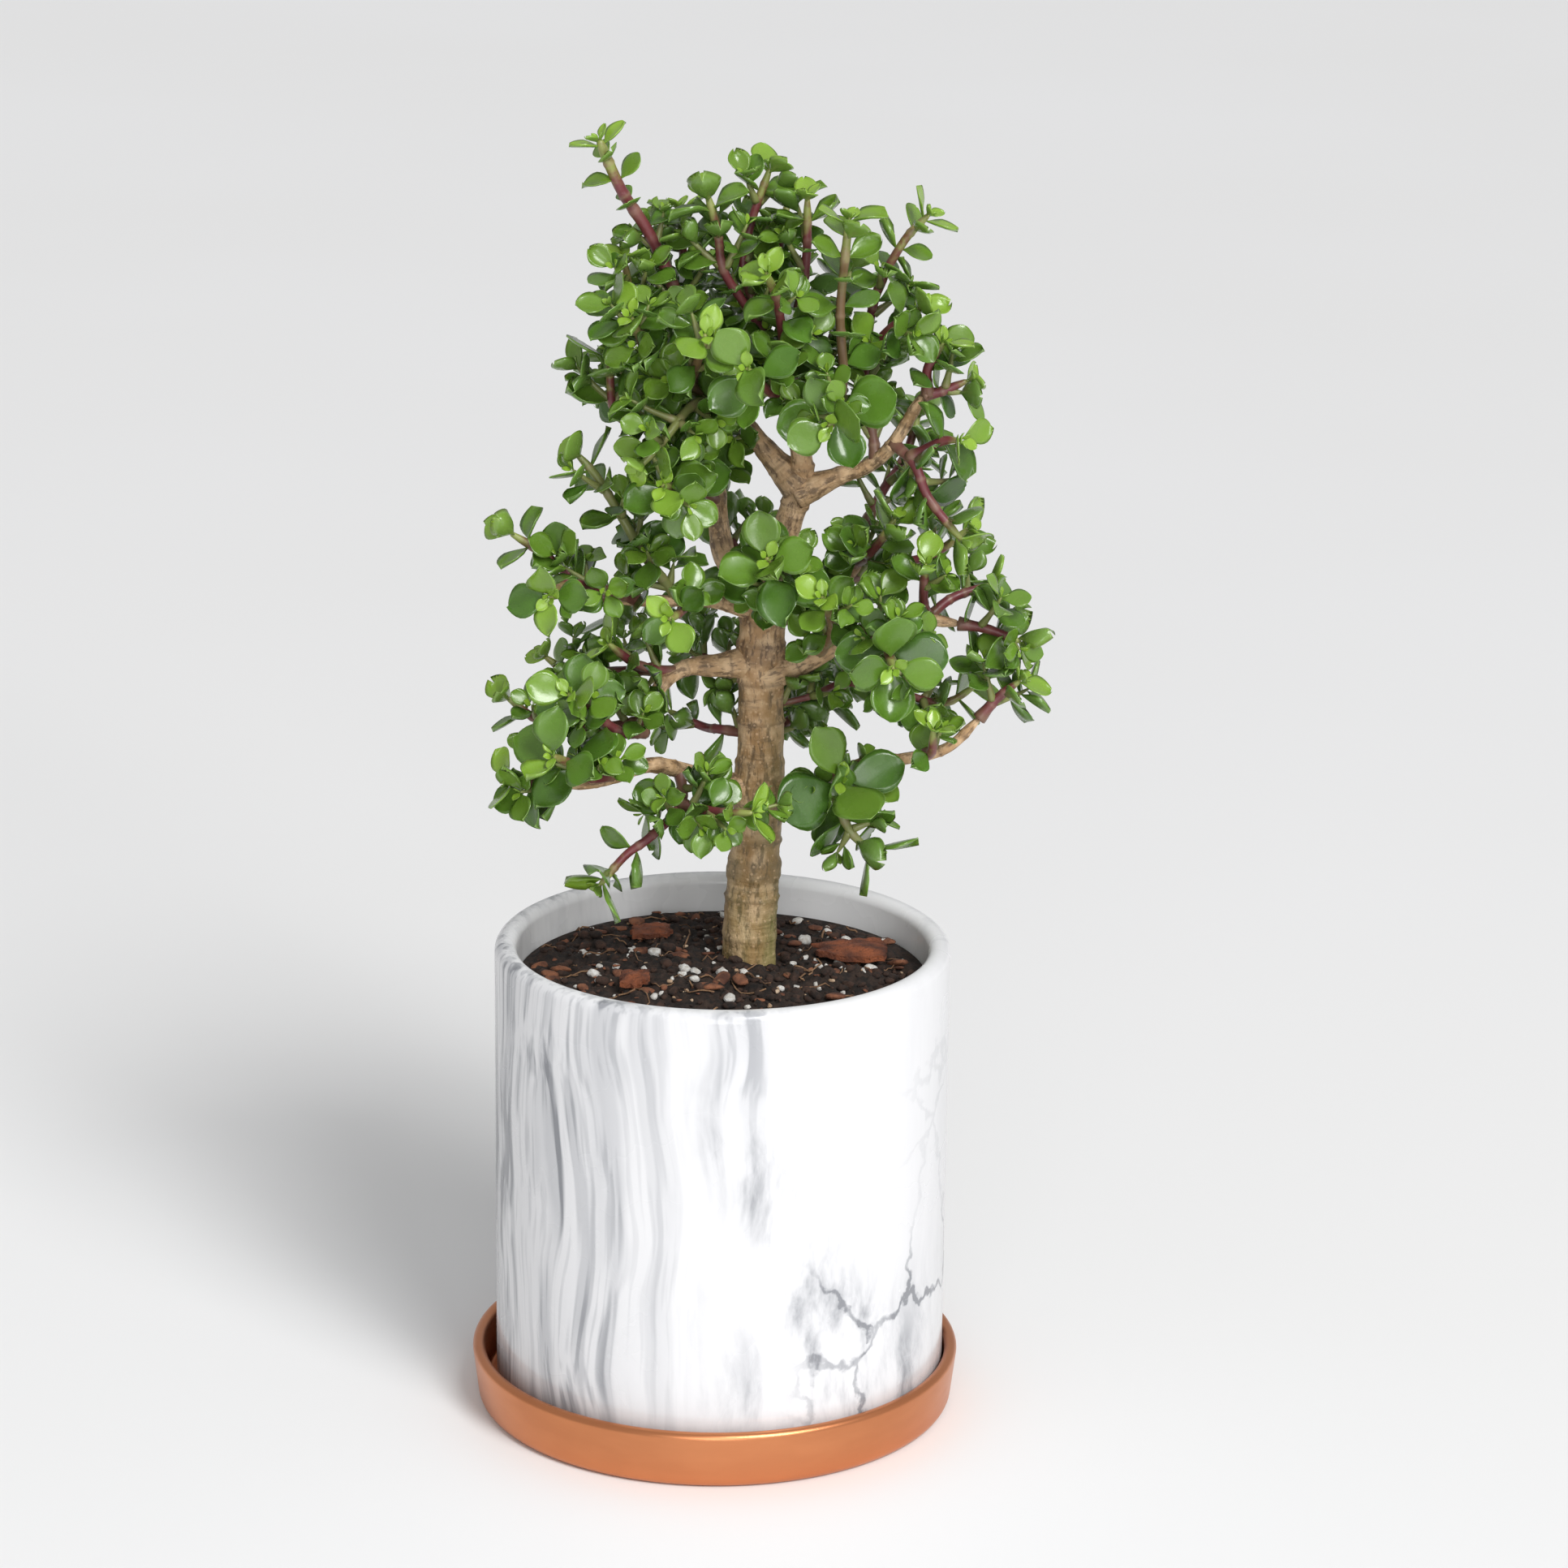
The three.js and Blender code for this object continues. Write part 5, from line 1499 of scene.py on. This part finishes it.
@dataclass(frozen=True)
class LeafShape:
    """A leaf of unit length along X that faces up Z. Sizes are shares of its length."""

    width: float = 0.86
    thickness: float = 0.105
    fullest: float = 0.60
    cup: float = 0.10
    droop: float = 0.05
    twist: float = 0.0
    rings: int = 14
    segments: int = 8

    def half_width(self, t: float) -> float:
        """Half the leaf's width at a share of its length."""
        swell = math.sin(math.pi * t ** (math.log(0.5) / math.log(self.fullest)))
        neck = min(t / 0.34, 1.0)
        neck = 0.36 + 0.64 * neck * neck * (3 - 2 * neck)
        return self.width / 2 * max(swell, 0.0) ** 0.70 * neck

    def half_thickness(self, t: float) -> float:
        """Half the leaf's thickness at a share of its length."""
        return self.thickness / 2 * (0.25 + 0.75 * math.sin(math.pi * min(t * 1.05, 1.0)) ** 0.6)

    def build(self) -> bpy.types.Object:
        """Turns a sphere into the leaf, ring by ring.

        Returns:
            The pattern, with its marks for underside and rim.
        """
        deselect()
        bpy.ops.mesh.primitive_uv_sphere_add(segments=self.segments, ring_count=self.rings,
                                             radius=0.5, location=(0, 0, 0),
                                             rotation=(0, math.pi / 2, 0))
        obj = bpy.context.object
        bpy.ops.object.transform_apply(location=True, rotation=True, scale=True)
        obj.data.transform(Matrix.Translation((0.5, 0, 0)))
        for ring in range(1, self.rings):
            t = 0.5 * (1 - math.cos(math.pi * ring / self.rings))
            radius = 0.5 * math.sin(math.pi * ring / self.rings)
            select_vertices(obj, np.abs(vertices_of(obj)[:, 0] - t) < 1e-4)
            bpy.ops.object.mode_set(mode="EDIT")
            bpy.ops.transform.resize(
                value=(1, self.half_width(t) / radius, self.half_thickness(t) / radius),
                center_override=(t, 0, 0))
            bpy.ops.object.mode_set(mode="OBJECT")
        places = vertices_of(obj)
        marks = np.zeros((len(places), 4))
        for place, values in zip(places, marks):
            t, across, up = place
            half = max(self.half_width(min(max(t, 0.0), 1.0)), 1e-6)
            side = across / max(half, 0.02)
            edge = 0.02 < t < 0.98 and abs(up) < 1e-4
            values[2] = 1.0 if up < -1e-4 else 0.0
            values[3] = 1.0 if edge or t >= 0.98 else 0.0
            if up > 0:
                up *= 0.62 if abs(side) > 0.2 else 0.30
            else:
                up *= 1.15
            up += self.cup * side * side * min(t * 2, 1) + self.droop * (0.25 - (t - 0.15) ** 2)
            place[2] = up + self.twist * side * (t - 0.3)
        move_vertices(obj, places)
        mark(obj, "leaf_marks", marks)
        bpy.ops.object.shade_smooth()
        return obj


class LeafKind(Enum):
    """The forms that leaves take."""

    ROUND = LeafShape(width=0.82, cup=0.12)
    FLAT = LeafShape(width=0.88, cup=0.03, droop=-0.06)
    CUPPED = LeafShape(width=0.78, cup=0.26, droop=-0.16)
    CURLED = LeafShape(width=0.78, cup=0.14, droop=0.34, twist=0.18)
    LONG = LeafShape(width=0.68, cup=0.08, droop=0.10, fullest=0.64, twist=-0.10)
    YOUNG = LeafShape(width=0.70, cup=0.12, droop=0.16, fullest=0.55, thickness=0.14)


class Leaves:
    """Makes the leaf pieces from one pattern of each kind."""

    def __init__(self, material: bpy.types.Material, seed: int = 11) -> None:
        """Builds the patterns.

        Args:
            material: what the leaves are dressed in.
            seed: what the choice of kind and tone starts from.
        """
        self.material = material
        self.rng = random.Random(seed)
        self.patterns = {kind: kind.value.build() for kind in LeafKind}
        base = self.patterns[LeafKind.ROUND]
        layer = base.data.attributes["leaf_marks"]
        self.marks = np.array([tuple(point.color) for point in layer.data])

    def choose(self, leaf: Leaf) -> LeafKind:
        """Which kind a leaf is: small ones at a tip are young, the rest vary."""
        if leaf.youth > 0.8 and leaf.length < 9:
            return LeafKind.YOUNG
        kinds = [LeafKind.ROUND, LeafKind.FLAT, LeafKind.CUPPED, LeafKind.CURLED, LeafKind.LONG]
        return self.rng.choices(kinds, weights=(28, 18, 22, 16, 16))[0]

    def piece(self, node: str, leaves: list[Leaf], origin: Vector) -> None:
        """All the leaves of one shoot as one piece.

        Args:
            node: the shoot's CAD node.
            leaves: where they stand.
            origin: the pot's axis at the soil, which their places are measured from.
        """
        parts = []
        for leaf in leaves:
            pattern = self.patterns[self.choose(leaf)]
            made = copy_of(pattern, Matrix.Translation(origin) @ leaf.matrix())
            marks = self.marks.copy()
            small = min(max((GROWN_LEAF - leaf.length) / 5, 0.25), 1.0)
            aged = leaf.youth ** 2.2 * 0.85 * small + self.rng.uniform(-0.06, 0.12)
            marks[:, 0] = min(max(aged, 0.0), 1.0)
            marks[:, 1] = self.rng.uniform(0.0, 0.75)
            mark(made, "leaf_marks", marks)
            parts.append(made)
        finish_piece(joined(parts), f"{node}_leaves", self.material, "leaf", node)

    def finish(self) -> None:
        """Removes the patterns."""
        for pattern in self.patterns.values():
            drop(pattern)


# ---------------------------------------------------------------- stems and wood

@dataclass
class RoundStem:
    """A limb as a mesh: a tube with rings, a wider foot and a rough or smooth skin."""

    limb: Limb
    sides: int = 10
    step: float = 0.9
    ring_gap: float = INTERNODE
    ring_height: float = 0.14
    ring_width: float = 0.55
    foot: float = 0.35
    foot_reach: float = 2.0
    taper: float = 4.0
    roughness: float = 0.0
    seed: float = 0.0

    def build(self, origin: Vector, base_mark: float = 0.0, green: float = 0.0) -> bpy.types.Object:
        """Draws the tube and shapes its skin.

        Args:
            origin: the pot's axis at the soil.
            base_mark: the first mark at its foot; it goes to 1 at the tip.
            green: the third mark.

        Returns:
            The tube, with its marks and its straightened places.
        """
        steps = max(int(self.limb.length / self.step), 6)
        line = self.limb.spaced(steps)
        shares = np.linspace(0, 1, steps + 1)
        distance = shares * self.limb.length
        radii = np.array([self.limb.radius(share) for share in shares])
        radii *= 1 + self.foot * np.exp(-((distance / self.foot_reach) ** 2))
        phase = (math.sin(self.seed * 12.9) + 1) * self.ring_gap
        wander = 0.22 * self.ring_gap * np.sin(distance * 0.5 + self.seed)
        to_ring = (distance + phase + wander) % self.ring_gap - self.ring_gap / 2
        ring = np.exp(-((to_ring / self.ring_width) ** 2))
        to_tip = self.limb.length - distance
        ring *= np.clip(to_tip / self.taper - 0.5, 0, 1)
        radii += self.ring_height * ring
        ends = 0.60 + 0.40 * np.clip(to_tip / self.taper, 0, 1)
        ends[-1] *= 0.6
        centres = line * MM + np.array(origin)
        obj = tube(centres, radii * ends * MM, self.sides)
        places = vertices_of(obj)
        count = len(places) // (steps + 1)
        index = np.arange(len(places)) // count
        around = np.arange(len(places)) % count * (2 * math.pi / count)
        if self.roughness:
            for i, place in enumerate(places):
                spot = Vector((math.cos(around[i]) * 1.6, math.sin(around[i]) * 1.6,
                               distance[index[i]] * 0.09 + self.seed * 7))
                bulge = noise.noise(spot) + 0.55 * noise.noise(spot * 2.7) + 0.3 * noise.noise(
                    Vector((spot.x * 4, spot.y * 4, spot.z * 9)))
                middle = centres[index[i]]
                place[:] = middle + (place - middle) * (1 + self.roughness * bulge)
            move_vertices(obj, places)
        marks = np.zeros((len(places), 4))
        marks[:, 0] = base_mark + (1 - base_mark) * shares[index]
        marks[:, 1] = ring[index]
        marks[:, 2] = green
        mark(obj, "limb_marks", marks)
        straight = obj.data.attributes.new("limb_place", "FLOAT_VECTOR", "POINT")
        wide = radii[index] * MM
        laid = np.column_stack([wide * np.cos(around), wide * np.sin(around),
                                distance[index] * MM + self.seed * 0.37])
        straight.data.foreach_set("vector", laid.astype(np.float32).ravel())
        return obj


@dataclass
class Plant:
    """The whole plant: its wood, its shoots and its leaves."""

    soil_drop: float = 11 * MM
    leaf_seed: int = 7
    sprout_seed: int = 23
    sprout_chance: float = 0.85
    fewer_at_tip: float = 0.6
    first_sprout: float = 6.0
    sprout_step: float = 8.5
    sprouting: float = 0.85
    without_sprouts: str = "leader"
    origin: Vector = field(init=False)
    limbs: dict[str, Limb] = field(init=False)

    def __post_init__(self) -> None:
        """Grows every limb's line."""
        self.origin = Vector((0, 0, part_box("pot")[1].z - self.soil_drop))
        self.limbs = {}
        for limb in WOOD + SHOOTS:
            limb.grow(self.limbs)
            self.limbs[limb.name] = limb

    def build_wood(self, material: bpy.types.Material) -> None:
        """The trunk and the boughs."""
        for number, limb in enumerate(WOOD):
            if limb.name == "trunk":
                stem = RoundStem(limb, sides=36, step=0.8, ring_gap=10.5, ring_height=0.55,
                                 ring_width=0.9, foot=0.0, roughness=0.070, seed=0.3)
            else:
                stem = RoundStem(limb, sides=16, step=0.7, ring_gap=6.5, ring_height=0.22,
                                 ring_width=0.6, foot=0.75, foot_reach=limb.radii[0] + 8.5,
                                 roughness=0.075, seed=1.7 * number)
            obj = stem.build(self.origin)
            self.weather(obj, limb)
            if limb.name == "trunk":
                self.swell_joins(obj)
            finish_piece(obj, f"{limb.name}_wood", material, "bark", limb.name)

    def weather(self, obj: bpy.types.Object, limb: Limb) -> None:
        """Marks where bark is pale and where it is green: the boughs, and the trunk's foot."""
        layer = obj.data.attributes["limb_marks"]
        marks = np.array([tuple(point.color) for point in layer.data])
        places = vertices_of(obj) / MM - np.array(self.origin) / MM
        if limb.name == "trunk":
            height = places[:, 2]
            marks[:, 0] = np.clip((height - 70) / 120, 0, 0.6)
            east = np.clip((places[:, 0] - 9) / 7, 0, 1)
            marks[:, 2] = np.clip(1.1 - height / 85, 0, 1) * (0.35 + 0.65 * east)
        else:
            marks[:, 0] = 0.85 - 0.6 * marks[:, 0]
            marks[:, 2] = 0.05
        mark(obj, "limb_marks", marks)

    def swell_joins(self, obj: bpy.types.Object) -> None:
        """Widens the trunk in a collar where each bough leaves it."""
        places = vertices_of(obj)
        trunk = self.limbs["trunk"]
        for limb in WOOD[1:]:
            join = trunk.point(limb.at) * MM + np.array(self.origin)
            outward = limb.joints[2] - limb.joints[0]
            outward[2] = 0
            outward /= np.linalg.norm(outward)
            reach = (limb.radii[0] + 4.2) * MM
            away = places - join
            near = np.exp(-(away[:, 2] / reach) ** 2)
            towards = np.clip(away @ outward / (trunk.radius(limb.at) * MM), 0, 1)
            places += np.outer(near * towards**2 * 0.9 * MM, outward)
        move_vertices(obj, places)

    def build_shoots(self, stem_material: bpy.types.Material,
                     leaf_material: bpy.types.Material) -> None:
        """The leafy shoots: for each, one piece of stems and one of leaves."""
        foliage = Foliage(self.limbs)
        dice = Dice(self.leaf_seed)
        grown = {limb.name: foliage.pairs_of(limb, dice) for limb in SHOOTS}
        small = Dice(self.sprout_seed)
        leaves: dict[str, list[Leaf]] = {}
        stems: dict[str, list[Limb]] = {}
        for limb in SHOOTS:
            leaves.setdefault(limb.node, []).extend(grown[limb.name])
            leaves[limb.node].extend(foliage.bud_of(limb, small))
            stems.setdefault(limb.node, []).append(limb)
        for limb in SHOOTS:
            if limb.name != self.without_sprouts:
                self.add_sprouts(limb, foliage, small, leaves[limb.node], stems[limb.node])
        maker = Leaves(leaf_material)
        for number, (node, limbs) in enumerate(stems.items()):
            parts = [self.shoot_stem(limb, number + i) for i, limb in enumerate(limbs)]
            finish_piece(joined(parts), f"{node}_stem", stem_material, "leaf", node)
            maker.piece(node, leaves[node], self.origin)
        maker.finish()

    def add_sprouts(self, limb: Limb, foliage: Foliage, dice: Dice, leaves: list[Leaf],
                    stems: list[Limb]) -> None:
        """Grows the small side shoots of one shoot.

        Args:
            limb: the shoot.
            foliage: what has been grown so far.
            dice: the dice for what varies.
            leaves: the shoot's leaves, which theirs are added to.
            stems: the shoot's stems, which theirs are added to.
        """
        places = np.arange(self.first_sprout, limb.length * self.sprouting, self.sprout_step)
        for number, along in enumerate(places / limb.length):
            for side in (0, 1):
                angle = limb.roll + 90 * number + 180 * side + dice.about(50)
                if dice.roll() > self.sprout_chance * (1 - self.fewer_at_tip * along):
                    continue
                sprout, extra = foliage.sprout(limb, along, angle, 2 * number + side, dice)
                if len(extra) < 2:
                    continue
                foliage.bodies.extend(one.body(limb.node) for one in extra)
                leaves.extend(extra + foliage.bud_of(sprout, dice)[2:])
                stems.append(sprout)

    def shoot_stem(self, limb: Limb, number: int) -> bpy.types.Object:
        """One stem of a shoot, or of a sprout on it."""
        is_sprout = "sprout" in limb.name
        stem = RoundStem(limb, sides=8 if is_sprout else 10, ring_height=0.08 if is_sprout else 0.2,
                         ring_width=0.7, foot=0.35, foot_reach=3.0, roughness=0.03, seed=0.9 * number)
        return stem.build(self.origin, base_mark=0.6 if is_sprout else 0.0, green=limb.tint.value)


# ---------------------------------------------------------------- stage

@dataclass
class Stage:
    """The floor, the light and the camera."""

    floor_size: float = 60.0
    camera_place: Point = (0.0, -1.300, 0.5743)
    lens: float = 112.1
    sensor: float = 36.0
    yaw: float = 0.0128
    pitch: float = 0.2926
    roll: float = 0.0122

    def build(self, effects: Effects) -> None:
        """Makes all of it."""
        self.make_floor(effects)
        self.make_lights()
        self.make_camera()

    def make_floor(self, effects: Effects) -> None:
        """A plain pale floor that fills the view."""
        deselect()
        bpy.ops.mesh.primitive_plane_add(size=self.floor_size, location=(0, 0, 0))
        floor = bpy.context.object
        floor.name = "pale_floor"
        material, sheet = start_material("pale_floor")
        clouds = sheet.group(effects.mottle, Scale=1.2)
        colour = sheet.mix(clouds.outputs[0], (0.830, 0.828, 0.822, 1), (0.845, 0.845, 0.845, 1))
        surface = sheet.add("BsdfPrincipled", {"Base Color": colour, "Roughness": 0.6})
        close_material(sheet, surface)
        floor.data.materials.append(material)

    def make_lights(self) -> None:
        """Even pale light from all round, soft daylight, a window, and two fills in front."""
        world = bpy.data.worlds.new("studio")
        world.use_nodes = True
        world.node_tree.nodes["Background"].inputs[0].default_value = (0.98, 0.985, 1.0, 1)
        world.node_tree.nodes["Background"].inputs[1].default_value = 0.47
        bpy.context.scene.world = world
        self.sun((0.55, -0.90, 1.05), 24.0, 2.1)
        self.area_light("window", (0.75, -1.35, 0.95), (0.0, 0.0, 0.2), 0.30, 6.0)
        self.area_light("front_fill", (-0.10, -1.5, 0.7), (0.0, 0.0, 0.1), 0.6, 3.6)
        self.area_light("low_fill", (0.06, -1.45, 0.20), (0.0, 0.0, 0.03), 0.35, 2.2)

    def sun(self, place: Point, softness: float, power: float) -> None:
        """Even light from one side, with soft shadows.

        Args:
            place: the side that it comes from.
            softness: how wide the light is, in degrees.
            power: its strength.
        """
        light = bpy.data.lights.new("daylight", "SUN")
        light.angle = math.radians(softness)
        light.energy = power
        lamp = bpy.data.objects.new("daylight", light)
        lamp.rotation_euler = (-Vector(place)).to_track_quat("-Z", "Y").to_euler()
        bpy.context.scene.collection.objects.link(lamp)

    def area_light(self, name: str, place: Point, target: Point, size: float, power: float) -> None:
        """A square soft light.

        Args:
            name: its name.
            place: where it is.
            target: what it points at.
            size: its side.
            power: its power in watts.
        """
        light = bpy.data.lights.new(name, "AREA")
        light.size = size
        light.energy = power
        lamp = bpy.data.objects.new(name, light)
        lamp.location = place
        aim = Vector(target) - Vector(place)
        lamp.rotation_euler = aim.to_track_quat("-Z", "Y").to_euler()
        bpy.context.scene.collection.objects.link(lamp)

    def make_camera(self) -> None:
        """A camera a little above, that looks down at the plant."""
        camera = bpy.data.cameras.new("camera")
        camera.lens = self.lens
        camera.sensor_width = self.sensor
        camera.clip_end = 100
        obj = bpy.data.objects.new("camera", camera)
        turned = (Matrix.Rotation(-self.yaw, 4, "Z")
                  @ Matrix.Rotation(math.pi / 2 - self.pitch, 4, "X")
                  @ Matrix.Rotation(self.roll, 4, "Z"))
        obj.matrix_world = Matrix.Translation(self.camera_place) @ turned
        bpy.context.scene.collection.objects.link(obj)
        bpy.context.scene.camera = obj
        bpy.context.scene.view_settings.view_transform = "Standard"


def main() -> None:
    """Builds every piece in order."""
    logging.basicConfig(level=logging.INFO, format="%(name)s %(message)s")
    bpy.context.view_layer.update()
    deselect()
    effects = Effects()
    Stage().build(effects)
    Saucer().build(CopperCoat().make(effects))
    Pot().build(MarbleGlaze().make(effects))
    PottingMix().build(effects)
    plant = Plant()
    plant.build_wood(BarkFinish().make(effects))
    plant.build_shoots(StemFinish().make(effects), LeafFinish().make(effects))
    deselect()


if __name__ == "__main__":
    main()
